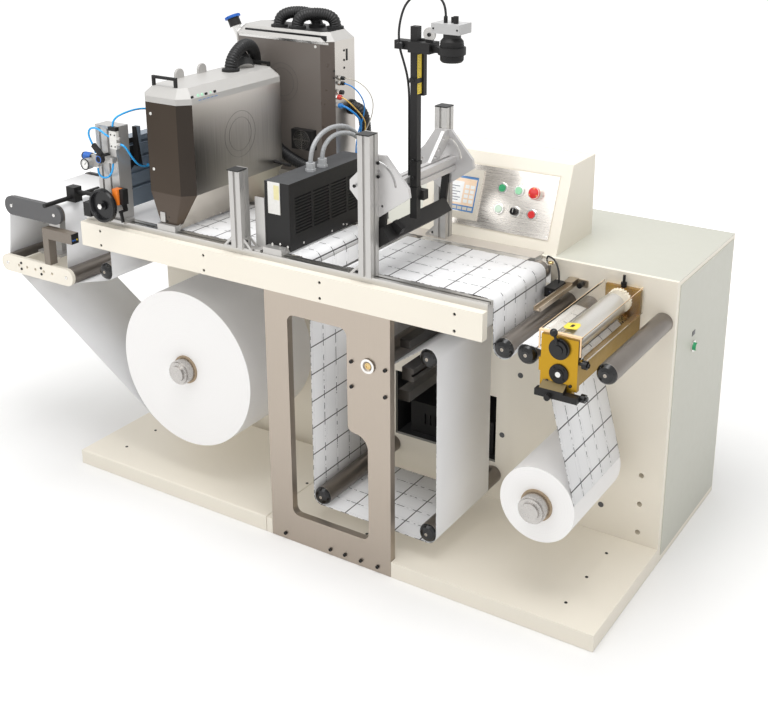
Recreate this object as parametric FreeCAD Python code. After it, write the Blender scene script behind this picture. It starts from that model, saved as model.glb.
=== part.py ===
# Narrow-web digital label press: a cabinet with cantilevered rollers, a print bed and two print engines.
# Frame: X along the press (right is +X), Y from the operator's side to the back, Z up, in millimetres.
# The origin is on the floor, in the middle of the cabinet's main plate. Y is written from the plate's front face
# below, and save() moves each piece back by half the plate.
import FreeCAD
import Part
import os
from math import acos, atan2, cos, degrees, pi, radians, sin, sqrt, tan

V = FreeCAD.Vector
os.makedirs("parts", exist_ok=True)

# Length: the bay left of the portal frame, the portal and the bay right of it
unwind_bay = 763
portal_setback = 22
portal_width = 411
rewind_bay = 604
base_length = unwind_bay + portal_setback + portal_width + rewind_bay
left_end, right_end = -base_length / 2, base_length / 2
portal_x0 = left_end + unwind_bay + portal_setback
portal_x1 = portal_x0 + portal_width

# Cabinet and plinth
cabinet_depth = 478
cabinet_height = 850
plate_thickness = 12
sheet = 2
plinth_height = 48
plinth_seam_x = left_end + unwind_bay
plinth_seam_gap = 2
plinth_back_gap = 22
plinth_flange = 8
fit = 0.3
door_count = 4

# Web, from its back edge, and what stands before it
web_width = 300
web_back = -85
web_front = web_back - web_width
web_thickness = 1
web_gap = 0.3
roller_front = web_front - 7
chuck_front = web_front - 43
plinth_front = web_front - 61

# Rollers
roller_radius = 27
guide_roller_radius = 28
drive_radius = 30
stub_radius = 12
stub_length = 30
running = 0.05
end_gap = 0.5

# Bed, rail and portal
bed_top = cabinet_height + 11
track_top = bed_top + 1
bed_roller_z = bed_top - roller_radius
rail_x0, rail_x1 = left_end + 89, right_end - 335
rail_height, rail_thickness = 75, 25
rail_z1 = cabinet_height - 6
rail_z0 = rail_z1 - rail_height
portal_thickness = 22
track_width, track_depth = 30, 62
track_z0 = track_top - track_depth
rear_track_y0, rear_track_y1 = web_back + 25, -14
bed_sheet = 3
bed_roller_front = plinth_front + rail_thickness + track_width

# Window in the main plate, with the drive unit behind it
window_x0, window_x1 = portal_x0 + 143, portal_x1 + 84
window_z0 = plinth_height + 122
window_z1 = window_z0 + 215
window_depth = 210

# Paper rolls
core_radius = 38
core_wall = 6
unwind_radius, rewind_radius = 248, 105
unwind_x, unwind_z = left_end + 422, plinth_height + 118 + unwind_radius
rewind_x, rewind_z = right_end - 199, plinth_height + 174 + rewind_radius

# Print engines
engine_chamfer = 32
engine_1_width, engine_1_length = 178, 460
engine_1_x = left_end + 410
engine_1_y0 = plinth_front + 36
engine_1_y1 = engine_1_y0 + engine_1_length
engine_1_foot = bed_top + 7
engine_1_z0, engine_1_z1 = bed_top + 111, bed_top + 374
engine_2_x0, engine_2_x1 = left_end + 242, left_end + 625
engine_2_y, engine_2_depth = engine_1_y1 + 50, 170
engine_2_z0, engine_2_z1 = cabinet_height + 80, cabinet_height + 502
cap_height = 26
collar_radius = 26

# Dryer
dryer_width, dryer_height = 83, 192
dryer_x0 = portal_x0 - 30
dryer_x1 = dryer_x0 + dryer_width
dryer_y0, dryer_y1 = plinth_front + 56, -14
dryer_z0 = bed_top + 7
dryer_z1 = dryer_z0 + dryer_height

# Gantry and camera mast
post_side = 38.1
post_front_y, post_rear_y = plinth_front + 36, -30
post_a_x, post_a_top = portal_x0 - 103, bed_top + 224
post_b_x, post_bc_top = portal_x1 - 88, bed_top + 379
crossbar_z = bed_top + 231
fan_thickness = 10
mast_y, mast_side = web_front + 85, 20
mast_z0, mast_z1 = bed_top + 139, bed_top + 639

# Adjuster station and web guide
upright_x0, upright_x1 = left_end + 166, left_end + 249
upright_y0, upright_depth = plinth_front + 16, 49
upright_top = bed_top + 289
base_plate = 9
wheel_x, wheel_z, wheel_radius = left_end + 215, bed_top + 59, 51
guide_plate_front, guide_plate_back = web_front - 19, web_back + 15
guide_plate_thickness = 11
ladder_front, ladder_thickness = web_front - 33, 12
guide_upper_z, guide_lower_z = bed_top - 38, bed_top - 232

# Die station
die_axis_x = right_end - 145
die_x0, die_x1 = die_axis_x - 50, die_axis_x + 48
die_z1 = bed_top - 50
die_height = 156
die_z0 = die_z1 - die_height
die_front, die_plate = web_front - 19, 14
die_cylinder_radius = 31.7
die_nip = 2.6
die_upper_z = die_z1 - 29
die_lower_z = die_upper_z - 2 * die_cylinder_radius - die_nip
die_exit_x, die_exit_z, die_exit_radius = die_axis_x - 25, die_z0 + 12, 9
gear_teeth, gear_width = 24, 16

# Console
console_x0, console_x1 = portal_x1 - 199, portal_x1 + 247
console_y0, console_y1, console_shelf = 17, 257, 108
console_top = cabinet_height + 238


def box(x0, x1, y0, y1, z0, z1):
    return Part.makeBox(x1 - x0, y1 - y0, z1 - z0, V(x0, y0, z0))


def rod_y(x, z, radius, y0, y1):
    return Part.makeCylinder(radius, y1 - y0, V(x, y0, z), V(0, 1, 0))


def rod_x(y, z, radius, x0, x1):
    return Part.makeCylinder(radius, x1 - x0, V(x0, y, z), V(1, 0, 0))


def rod_z(x, y, radius, z0, z1):
    return Part.makeCylinder(radius, z1 - z0, V(x, y, z0), V(0, 0, 1))


def prism_y(points, y0, y1):
    """A solid with an outline of (x, z) points, from y0 to y1."""
    wire = Part.makePolygon([V(x, y0, z) for x, z in points + points[:1]])
    return Part.Face(wire).extrude(V(0, y1 - y0, 0))


def prism_x(points, x0, x1):
    """A solid with an outline of (y, z) points, from x0 to x1."""
    wire = Part.makePolygon([V(x0, y, z) for y, z in points + points[:1]])
    return Part.Face(wire).extrude(V(x1 - x0, 0, 0))


def prism_z(points, z0, z1):
    """A solid with an outline of (x, y) points, from z0 to z1."""
    wire = Part.makePolygon([V(x, y, z0) for x, y in points + points[:1]])
    return Part.Face(wire).extrude(V(0, 0, z1 - z0))


def rounded_y(points, radii, y0, y1):
    """A prism along Y whose corner i is rounded with radii[i]."""
    edges = []
    count = len(points)
    corners = [V(x, y0, z) for x, z in points]
    starts, ends, mids = [], [], []
    for i, corner in enumerate(corners):
        before = (corners[i - 1] - corner).normalize()
        after = (corners[(i + 1) % count] - corner).normalize()
        half = before.getAngle(after) / 2
        setback = radii[i] / tan(half)
        centre = corner + (before + after).normalize() * (radii[i] / sin(half))
        starts.append(corner + before * setback)
        ends.append(corner + after * setback)
        mids.append(centre + (corner - centre).normalize() * radii[i])
    for i in range(count):
        if radii[i] > 0:
            edges.append(Part.Arc(starts[i], mids[i], ends[i]).toShape())
        edges.append(Part.LineSegment(ends[i], starts[(i + 1) % count]).toShape())
    return Part.Face(Part.Wire(edges)).extrude(V(0, y1 - y0, 0))


def slot_y(x0, x1, z0, z1, radius, y0, y1):
    """A rounded rectangle along Y."""
    return rounded_y([(x0, z0), (x1, z0), (x1, z1), (x0, z1)], [radius] * 4, y0, y1)


def spun_y(x, z, profile):
    """A solid of revolution about a Y axis through (x, z), from (radius, y) points."""
    points = [V(x + r, y, z) for r, y in profile]
    return Part.Face(Part.makePolygon(points + points[:1])).revolve(V(x, 0, z), V(0, 1, 0), 360)


def fuse(*shapes):
    return shapes[0].fuse(list(shapes[1:])).removeSplitter()


def save(name, *solids):
    shape = solids[0].copy() if len(solids) == 1 else Part.makeCompound(list(solids))
    shape.translate(V(0, -plate_thickness / 2, 0))
    shape.exportStep("parts/" + name + ".step")
    print(name, len(shape.Solids), round(shape.Volume / 1000), shape.isValid())


# Web: a strip that follows its rollers as tangent lines and arcs
def web_edge(start, end):
    """A straight edge between two (x, z) points on the web's front side."""
    return Part.LineSegment(V(start[0], web_front, start[1]), V(end[0], web_front, end[1])).toShape()


def tangents(stations, offset):
    """Where the path, moved sideways by offset, meets and leaves each (x, z, radius, turn) station."""
    signed = [turn * radius - offset for x, z, radius, turn in stations]
    arrive, leave = {}, {}
    for i in range(len(stations) - 1):
        x0, z0 = stations[i][:2]
        x1, z1 = stations[i + 1][:2]
        span = sqrt((x1 - x0) ** 2 + (z1 - z0) ** 2)
        normal = atan2(z1 - z0, x1 - x0) + acos((signed[i + 1] - signed[i]) / span)
        leave[i] = (x0 - signed[i] * cos(normal), z0 - signed[i] * sin(normal))
        arrive[i + 1] = (x1 - signed[i + 1] * cos(normal), z1 - signed[i + 1] * sin(normal))
    return signed, arrive, leave


def strip_side(stations, first, last, offset):
    """Edges from where the path leaves station first to where it leaves station last, and their ends."""
    signed, arrive, leave = tangents(stations, offset)
    edges, here = [], leave[first]
    for i in range(first + 1, last + 1):
        edges.append(web_edge(here, arrive[i]))
        here = arrive[i]
        if i not in leave:
            break
        x, z, radius, turn = stations[i]
        start = atan2(arrive[i][1] - z, arrive[i][0] - x)
        finish = atan2(leave[i][1] - z, leave[i][0] - x)
        half = ((finish - start) * turn % (2 * pi)) * turn / 2
        middle = (x + abs(signed[i]) * cos(start + half), z + abs(signed[i]) * sin(start + half))
        arc = Part.Arc(*(V(a, web_front, b) for a, b in (arrive[i], middle, leave[i])))
        edges.append(arc.toShape())
        here = leave[i]
    return edges, leave[first], here


def web_strip(stations, first, last):
    """The web from one station to another, across its whole width."""
    left, left_start, left_end_point = strip_side(stations, first, last, web_thickness / 2)
    right, right_start, right_end_point = strip_side(stations, first, last, -web_thickness / 2)
    ends = [web_edge(left_start, right_start), web_edge(left_end_point, right_end_point)]
    wire = Part.Wire(Part.__sortEdges__(left + right + ends))
    return Part.Face(wire).extrude(V(0, web_width, 0))


def wrap(roller, turn):
    """The station where the web's middle line runs round a roller, clear of it."""
    x, z, radius = roller
    return (x, z, radius + web_gap + web_thickness / 2, turn)


# Rollers: name, then x, z and radius
outfeed_z = bed_top - 126
rollers = {
    "guide_roller_upper_left": (left_end - 268, guide_upper_z, guide_roller_radius),
    "guide_roller_upper_right": (left_end - 75, guide_upper_z, guide_roller_radius),
    "guide_roller_lower_left": (left_end - 297, guide_lower_z, roller_radius),
    "guide_roller_lower_right": (left_end - 29, guide_lower_z, roller_radius),
    "infeed_roller": (left_end + 113, bed_top - 194, roller_radius),
    "bed_entry_roller": (left_end + 168, bed_roller_z, roller_radius),
    "bed_turn_roller": (portal_x0 + 81, bed_roller_z, roller_radius),
    "loop_roller_left": (portal_x0 + 136, plinth_height + 87, roller_radius),
    "loop_roller_right": (portal_x1 + 80, plinth_height + 84, roller_radius),
    "loop_roller_upper": (portal_x1 + 78, bed_top - 206, roller_radius),
    "drive_roller": (portal_x1 - 68, rail_z0 - 146, drive_radius),
    "bed_lift_roller": (portal_x1 - 166, bed_roller_z, roller_radius),
    "bed_end_roller": (rail_x1 - 31, bed_roller_z, roller_radius),
    "outfeed_roller_left": (die_axis_x - 163, outfeed_z, roller_radius),
    "outfeed_roller_right": (die_axis_x - 98, outfeed_z, roller_radius),
    "spare_idler_roller": (right_end - 32, outfeed_z - 2, roller_radius),
}
plate_rollers = [name for name in rollers if not name.startswith(("guide", "bed"))]
bed_rollers = [name for name in rollers if name.startswith("bed")]
domed_rollers = [
    "infeed_roller", "loop_roller_left", "loop_roller_right", "loop_roller_upper",
    "outfeed_roller_left", "outfeed_roller_right", "spare_idler_roller",
]


def roller(name, front, back, front_stub):
    """A roller tube closed by its caps, with a blind bore that runs on each stub shaft."""
    x, z, radius = rollers[name]
    bore, rim = stub_radius + running, radius - 3
    depth = stub_length + 1
    profile = [(0, back - depth), (bore, back - depth), (bore, back), (rim, back), (radius, back - 3)]
    if name in domed_rollers:
        profile += [(radius, front + 14), (radius - 2, front + 9), (radius * 0.74, front + 3)]
        profile += [(radius * 0.4, front), (4, front), (4, front + 2), (0, front + 2)]
    elif front_stub:
        profile += [(radius, front + 3), (rim, front), (bore, front), (bore, front + depth)]
        profile += [(0, front + depth)]
    else:
        profile += [(radius, front + 6), (radius - 4, front + 6), (radius - 4, front), (0, front)]
    save(name, spun_y(x, z, profile))


def stubs(names, y0, y1):
    return [rod_y(rollers[name][0], rollers[name][1], stub_radius, y0, y1) for name in names]


for name in plate_rollers:
    roller(name, roller_front, -end_gap, False)
for name in bed_rollers:
    roller(name, bed_roller_front + end_gap, rear_track_y0 - end_gap, True)
for name in ("guide_roller_upper_left", "guide_roller_upper_right"):
    roller(name, guide_plate_front + guide_plate_thickness + end_gap, guide_plate_back - end_gap, True)
for name in ("guide_roller_lower_left", "guide_roller_lower_right"):
    roller(name, ladder_front + ladder_thickness + end_gap, guide_plate_back - end_gap, True)


# Paper rolls on their expanding chucks
def chuck(name, x, z):
    """A turned chuck with a stepped nose, on a dead shaft from the main plate."""
    body = spun_y(x, z, [
        (0, -stub_length - 1), (stub_radius + running, -stub_length - 1), (stub_radius + running, -end_gap),
        (30, -end_gap), (30, web_back + 12), (core_radius, web_back + 12), (core_radius, chuck_front + 12),
        (core_radius - 4, chuck_front + 12), (core_radius - 4, chuck_front + 6), (24, chuck_front + 6),
        (24, chuck_front), (0, chuck_front)])
    save(name, body)


def paper_roll(name, x, z, radius):
    inner = core_radius + fit
    ring = core_radius + core_wall
    save(name, spun_y(x, z, [
        (inner, web_front - 4), (ring, web_front - 4), (ring, web_front), (radius, web_front),
        (radius, web_back), (ring, web_back), (ring, web_back + 4), (inner, web_back + 4)]))


chuck("unwind_chuck", unwind_x, unwind_z)
paper_roll("unwind_roll", unwind_x, unwind_z, unwind_radius)
chuck("rewind_chuck", rewind_x, rewind_z)
paper_roll("rewind_roll", rewind_x, rewind_z, rewind_radius)

# Web in five stretches, from the unwind roll to the rewind roll
unwind = (unwind_x, unwind_z, unwind_radius)
rewind = (rewind_x, rewind_z, rewind_radius)
lower_cylinder = (die_axis_x, die_lower_z, die_cylinder_radius)
exit_bar = (die_exit_x, die_exit_z, die_exit_radius)
route = [wrap(unwind, -1)]
web_turns = [
    ("guide_roller_lower_left", -1), ("guide_roller_upper_left", -1), ("guide_roller_upper_right", -1),
    ("guide_roller_lower_right", 1), ("infeed_roller", 1), ("bed_entry_roller", -1), ("bed_turn_roller", -1),
    ("loop_roller_left", 1), ("loop_roller_right", 1), ("loop_roller_upper", 1), ("drive_roller", -1),
    ("bed_lift_roller", -1), ("bed_end_roller", -1), ("outfeed_roller_left", 1), ("outfeed_roller_right", -1),
]
for name, turn in web_turns:
    route.append(wrap(rollers[name], turn))
route += [wrap(lower_cylinder, -1), wrap(exit_bar, 1), wrap(rewind, -1)]
save("web_infeed", web_strip(route, 0, 6))
save("web_bed_first", web_strip(route, 6, 7))
save("web_loop", web_strip(route, 7, 12))
save("web_bed_second", web_strip(route, 12, 15))
save("web_outfeed", web_strip(route, 15, 18))

# Cabinet: the main plate carries every cantilevered roller
plate = box(left_end, right_end, 0, plate_thickness, 0, cabinet_height)
window = box(window_x0, window_x1, -1, plate_thickness + 1, window_z0, window_z1)
plate = plate.cut(window)
spare_x, spare_z, spare_pitch, spare_depth, spare_radius = right_end - 63, 174, 90, 30, 8
spare_holes = [(spare_x, spare_z + i * spare_pitch) for i in (-1, 0, 1)]
plain_holes = spare_holes + [(window_x1 + 21, window_z0 + 97), (right_end - 177, 137), (window_x1 + 75, window_z1 + 89)]
drills = [rod_y(x, z, spare_radius, -1, plate_thickness + spare_depth) for x, z in plain_holes]
plate = plate.cut(drills)
shafts = stubs(plate_rollers, -stub_length, 1)
for x, z in ((unwind_x, unwind_z), (rewind_x, rewind_z)):
    shafts.append(rod_y(x, z, stub_radius, -stub_length, 1))
save("main_plate", fuse(plate, *shafts))

body = box(left_end, right_end, plate_thickness, cabinet_depth, 0, cabinet_height - sheet)
body = body.cut(box(window_x0, window_x1, plate_thickness - 1, window_depth, window_z0, window_z1))
save("cabinet_body", body.cut(drills))
top = box(left_end, right_end, plate_thickness + 0.2, cabinet_depth, cabinet_height - sheet, cabinet_height)
end_z0, end_z1 = 20, cabinet_height - 14
end_right = box(right_end, right_end + sheet, 20, cabinet_depth - 10, end_z0, end_z1)
end_left = box(left_end - sheet, left_end, 20, cabinet_depth - 10, end_z0, end_z1)
door_pitch = (base_length - 20) / door_count
door_top = cabinet_height - 50
doors = []
for i in range(door_count):
    x = left_end + 15 + i * door_pitch
    door = box(x, x + door_pitch - 15, cabinet_depth, cabinet_depth + sheet, 60, door_top)
    vents = [box(x + 120, x + door_pitch - 135, cabinet_depth - 1, cabinet_depth + sheet + 1, z, z + 6)
             for z in range(150, 222, 18)]
    doors.append(door.cut(vents))
button_y, button_z, button_radius = 155, 614, 11
button = fuse(rod_x(button_y, button_z, button_radius + 5, right_end + sheet - 0.5, right_end + sheet + 4),
              rod_x(button_y, button_z, button_radius, right_end + sheet - 0.5, right_end + sheet + 14))
save("cabinet_covers", top, fuse(end_right, button), end_left, *doors)
vent_pitch, vent_width = 18, 8
unit_x0, unit_x1 = window_x0 + 32, window_x1 - 28
drive_unit = box(unit_x0, unit_x1, 40, window_depth, window_z0, window_z0 + 105)
for i in range(12):
    x = unit_x0 + 50 + i * vent_pitch
    drive_unit = drive_unit.cut(box(x, x + vent_width, 39, 46, window_z0 + 35, window_z0 + 70))
save("drive_unit", drive_unit)

# Plinth in two sections, notched for the portal
plinth_left_end = plinth_seam_x - plinth_seam_gap
plinth_left = box(left_end, plinth_left_end, plinth_front, -plinth_back_gap, 0, plinth_height)
plinth_left = plinth_left.makeFillet(4, [e for e in plinth_left.Edges if e.BoundBox.ZMin > plinth_height - 1])
flange = box(left_end, plinth_left_end, -plinth_back_gap - 1, -fit, 0, plinth_flange)
notch = box(portal_x0 - 1, portal_x1 + 1, plinth_front - 1, plinth_front + portal_thickness + fit, -1,
            plinth_height + 1)
plinth_right = box(plinth_seam_x, right_end, plinth_front, -fit, 0, plinth_height).cut(notch)
save("plinth_left", fuse(plinth_left, flange))
save("plinth_right", plinth_right)

# Portal frame: plate with an L-shaped rounded opening and the drive roller's outer bearing
portal_y0, portal_y1 = plinth_front, plinth_front + portal_thickness
portal = box(portal_x0, portal_x1, portal_y0, portal_y1, 0, rail_z0)
slot_left, slot_narrow, slot_wide = portal_x0 + 77, portal_x1 - 137, portal_x1 - 72
slot_low, slot_high, step_z = plinth_height + 42, rail_z0 - 57, plinth_height + 357
opening = rounded_y([(slot_left, slot_low), (slot_wide, slot_low), (slot_wide, step_z), (slot_narrow, step_z + 10),
                     (slot_narrow, slot_high), (slot_left, slot_high)],
                    [22, 22, 40, 18, 22, 22], portal_y0 - 1, portal_y1 + 1)
drive_x, drive_z = rollers["drive_roller"][:2]
bearing = spun_y(drive_x, drive_z, [
    (6, portal_y0 + 7), (10, portal_y0 + 5), (14, portal_y0 + 5), (19, portal_y0 + 1), (21, portal_y0 + 1),
    (21, portal_y1), (0, portal_y1), (0, portal_y0 + 7)])
portal = portal.cut(opening).cut(rod_y(drive_x, drive_z, 20, portal_y0 - 1, portal_y1 + 1))
portal_holes = [(drive_x + dx, drive_z + dz) for dx, dz in ((-54, 0), (53, 0), (-54, -73), (53, -77))]
portal_holes += [(portal_x0 + dx, 18) for dx in (48, 208, 258, 312, 368)]
for x, z in portal_holes:
    portal = portal.cut(rod_y(x, z, 5.5, portal_y0 - 1, portal_y1 + 1))
save("portal_frame", fuse(portal, bearing))

# Front rail, bolted in pairs
rail = box(rail_x0, rail_x1, plinth_front, plinth_front + rail_thickness, rail_z0, rail_z1)
for x in (rail_x0 + 79, portal_x0 - 214, portal_x1 - 222, rail_x1 - 79):
    for z in (rail_z0 + 12, rail_z1 - 18):
        rail = rail.cut(rod_y(x, z, 4.5, plinth_front - 1, plinth_front + 6))
save("front_rail", rail)

# Bed: front track, rear track with its cover sheet, cross members, the plate under the web and the nip bars
track_y0 = plinth_front + rail_thickness
track_y1 = track_y0 + track_width
entry_x, turn_x, lift_x, end_x = (rollers[name][0] for name in bed_rollers)
front_track = box(rail_x0, rail_x1, track_y0, track_y1, track_z0, track_top)
groove = box(rail_x0 - 1, rail_x1 + 1, track_y0 + 11, track_y0 + 19, track_top - 8, track_top + 1)
front_track = front_track.cut(groove)
cover_x1 = end_x - 19
rear_track = box(rail_x0 + 46, rail_x1, rear_track_y0, rear_track_y1, track_z0, track_top - 12)
rear_step = box(rail_x0 + 46, cover_x1, rear_track_y0, rear_track_y1, track_z0, track_top)
cover = box(rail_x0 + 46, cover_x1, rear_track_y0, 0, track_top - bed_sheet, track_top)
cross_x = (entry_x + 34, portal_x0 - 226, portal_x1 - 235, end_x - 62)
cross = [box(x, x + 25, track_y1 - 1, 0, track_z0 - 10, track_z0 + 30) for x in cross_x]
bed_stubs = stubs(bed_rollers, track_y1 - 1, track_y1 + stub_length)
bed_stubs += stubs(bed_rollers, rear_track_y0 - stub_length, rear_track_y0 + 1)
bed_room = roller_radius + 5
plates = []
for x0, x1 in ((entry_x, turn_x), (lift_x, end_x)):
    plates.append(box(x0 + bed_room, x1 - bed_room, track_y1 - 1, rear_track_y0 + 1, bed_top - bed_sheet, bed_top))
nip_x, nip_z = portal_x1 - 10, drive_z
nip_bars = [
    box(nip_x + 3, nip_x + 33, web_front, 0, nip_z + 46, nip_z + 70),
    box(nip_x + 8, nip_x + 44, web_front, 0, nip_z - 46, nip_z - 10),
    box(nip_x - 3, nip_x + 32, web_front, 0, nip_z - 108, nip_z - 78),
]
t_slot = box(nip_x + 38, nip_x + 45, web_front - 1, 1, nip_z - 32, nip_z - 24)
nip_bars[1] = nip_bars[1].cut(t_slot)
save("bed_frame", fuse(front_track, rear_track, rear_step, cover, *plates, *cross, *bed_stubs), *nip_bars)

# Operator console: the panel sits in a pocket of the sloping front
lean = atan2(console_top - cabinet_height, console_shelf - console_y0)


def on_console(shape):
    """Tips a shape drawn on the XY plane at the console's foot onto its sloping front."""
    shape = shape.copy()
    shape.rotate(V(0, 0, 0), V(1, 0, 0), degrees(lean))
    shape.translate(V(0, console_y0, cabinet_height))
    return shape


panel_x, panel_v, panel_width, panel_tall, pocket = console_x0 + 33, 38, 380, 178, 2
pocket_room = 4
console = prism_x([(console_y0, cabinet_height), (console_y1, cabinet_height), (console_y1, console_top),
                   (console_shelf, console_top)], console_x0, console_x1)
recess = Part.makeBox(panel_width + 2 * pocket_room, panel_tall + 2 * pocket_room, 20,
                      V(panel_x - pocket_room, panel_v - pocket_room, -pocket))
save("console_housing", console.cut(on_console(recess)))

panel = Part.makeBox(panel_width, panel_tall, 4, V(panel_x, panel_v, -pocket))
bezel = Part.makeBox(138, 146, 6, V(panel_x + 12, panel_v + 16, 1))
screen = Part.makeBox(112, 104, 3, V(panel_x + 25, panel_v + 36, 5.5))
panel = panel.fuse(bezel.cut(screen)).removeSplitter()


def button_at(x, v, radius, height):
    """A barrel with its pressed or turned head, standing on the panel."""
    barrel = Part.makeCylinder(15, 5, V(x, v, 1))
    return barrel.fuse(Part.makeCylinder(radius, height, V(x, v, 1)))


button_columns = [panel_x + 215 + 52 * i for i in range(3)]
button_rows = [panel_v + 122, panel_v + 62]
flush, stop, knob = (11, 8), (17, 20), (10, 19)
button_kinds = [[flush, flush, stop], [flush, knob, flush]]
buttons = []
for v, kinds in zip(button_rows, button_kinds):
    for x, (radius, height) in zip(button_columns, kinds):
        buttons.append(button_at(x, v, radius, height))
save("console_panel", on_console(fuse(panel, *buttons)))


# Print engines: octagonal housings with a tapered foot
def octagon(x0, x1, y0, y1, cut):
    return [(x0 + cut, y0), (x1 - cut, y0), (x1, y0 + cut), (x1, y1 - cut), (x1 - cut, y1), (x0 + cut, y1),
            (x0, y1 - cut), (x0, y0 + cut)]


def loft_z(levels):
    """A solid through octagons given as (z, inset, cut) round the last given x0, x1, y0, y1."""
    wires = []
    for z, x0, x1, y0, y1, cut in levels:
        points = [V(x, y, z) for x, y in octagon(x0, x1, y0, y1, cut)]
        wires.append(Part.makePolygon(points + points[:1]))
    return Part.makeLoft(wires, True, True)


def housing(x0, x1, y0, y1, z0, z1):
    """An engine's housing with straight sides."""
    return loft_z([(z, x0, x1, y0, y1, engine_chamfer) for z in (z0, z1)])


def bevel(x0, x1, y0, y1, z0):
    """The cap that leans in on top of a housing."""
    inset = cap_height
    return loft_z([(z0, x0, x1, y0, y1, engine_chamfer),
                   (z0 + cap_height, x0 + inset, x1 - inset, y0 + inset, y1 - inset, 20)])


def handle(x0, x1, y, z0, height):
    """A square bar handle across the press on two legs."""
    bar = box(x0, x1, y, y + 8, z0 + height - 8, z0 + height)
    return [bar, box(x0, x0 + 8, y, y + 8, z0 - 1, z0 + height), box(x1 - 8, x1, y, y + 8, z0 - 1, z0 + height)]


def ear(x, y, z0, length, height):
    """A lifting ear with a rounded top, along the press's depth."""
    plate = box(x, x + 8, y, y + length, z0 - 8, z0 + height - length / 2)
    return [plate, rod_x(y + length / 2, z0 + height - length / 2, length / 2, x, x + 8)]


e1_x0, e1_x1 = engine_1_x - engine_1_width / 2, engine_1_x + engine_1_width / 2
engine_foot = track_top + 18
rear_foot_y0 = min(rear_track_y0 + 4, engine_1_y1 - 60)
engine_1 = fuse(
    housing(e1_x0, e1_x1, engine_1_y0, engine_1_y1, engine_1_z0, engine_1_z1),
    loft_z([(engine_1_foot, engine_1_x - 36, engine_1_x + 36, engine_1_y0 + 4, engine_1_y1 - 46, 10),
            (engine_1_z0, e1_x0, e1_x1, engine_1_y0, engine_1_y1, engine_chamfer)]),
    box(engine_1_x - 34, engine_1_x + 34, engine_1_y0 - 8, engine_1_y0 + 16, track_top, engine_foot),
    box(engine_1_x - 34, engine_1_x + 34, rear_foot_y0, rear_track_y1, track_top, engine_foot))
save("engine_1_body", engine_1)
cap_1_z = engine_1_z1 + 17
cap_1_top = cap_1_z + cap_height
rear_collar = Part.makeCylinder(collar_radius, 21, V(engine_1_x + 3, engine_1_y1 - 88, cap_1_top - 2),
                                V(-0.54, 0.38, 0.75))
e1_cap = fuse(
    housing(e1_x0, e1_x1, engine_1_y0, engine_1_y1, engine_1_z1, cap_1_z),
    bevel(e1_x0, e1_x1, engine_1_y0, engine_1_y1, cap_1_z),
    rod_z(engine_1_x, engine_1_y1 - 153, collar_radius, cap_1_top - 1, cap_1_top + 6), rear_collar,
    *ear(engine_1_x - 60, engine_1_y0 + 126, cap_1_top, 34, 28),
    *ear(engine_1_x - 60, engine_1_y0 + 224, cap_1_top, 34, 28),
    *handle(engine_1_x - 52, engine_1_x + 38, engine_1_y0 + 26, cap_1_top, 28),
    *handle(engine_1_x - 40, engine_1_x + 50, engine_1_y1 - 34, cap_1_top, 14))
save("engine_1_cap", e1_cap)

engine_2_y1 = engine_2_y + engine_2_depth
collars_2 = [(engine_2_x0 + dx, engine_2_y + dy) for dx, dy in ((158, 52), (228, 52), (258, 115), (328, 115))]
cap_2_top = engine_2_z1 + cap_height
plugs = [(engine_2_y + 58, engine_2_z1 - 115, 5), (engine_2_y + 57, engine_2_z1 - 131, 5),
         (engine_2_y + 51, engine_2_z1 - 158, 7), (engine_2_y + 40, engine_2_z1 - 172, 7),
         (engine_2_y + 44, engine_2_z1 - 199, 7)]
filler = Part.makeCylinder(14, 90, V(engine_2_x0 + 12, engine_2_y + 60, engine_2_z1 - 70), V(-0.42, 0, 0.907))
filler_neck = Part.makeCylinder(19, 28, V(engine_2_x0 - 26, engine_2_y + 60, engine_2_z1 + 11), V(-0.42, 0, 0.907))
filler_cap = Part.makeCylinder(24, 9, V(engine_2_x0 - 37, engine_2_y + 60, engine_2_z1 + 35), V(-0.42, 0, 0.907))
fan_box = box(engine_2_x0 + 251, engine_2_x0 + 330, engine_2_y - 25, engine_2_y + 1, engine_2_z0 + 83,
              engine_2_z0 + 146)
rear_hose_y, rear_hose_z = engine_2_y + 118, engine_2_z0 + 205
engine_2 = fuse(
    box(engine_2_x0 + 40, engine_2_x1 - 40, engine_2_y + 30, engine_2_y1 - 30, cabinet_height, engine_2_z0 + 5),
    housing(engine_2_x0, engine_2_x1, engine_2_y, engine_2_y1, engine_2_z0, engine_2_z1),
    bevel(engine_2_x0, engine_2_x1, engine_2_y, engine_2_y1, engine_2_z1),
    *[rod_z(x, y, collar_radius, cap_2_top - 1, cap_2_top + 6) for x, y in collars_2],
    *[rod_x(y, z, r, engine_2_x1 - 1, engine_2_x1 + 16) for y, z, r in plugs],
    rod_x(rear_hose_y, rear_hose_z, 24, engine_2_x1 - 1, engine_2_x1 + 6),
    filler, filler_neck, filler_cap, fan_box)
save("engine_2_body", engine_2)

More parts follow.
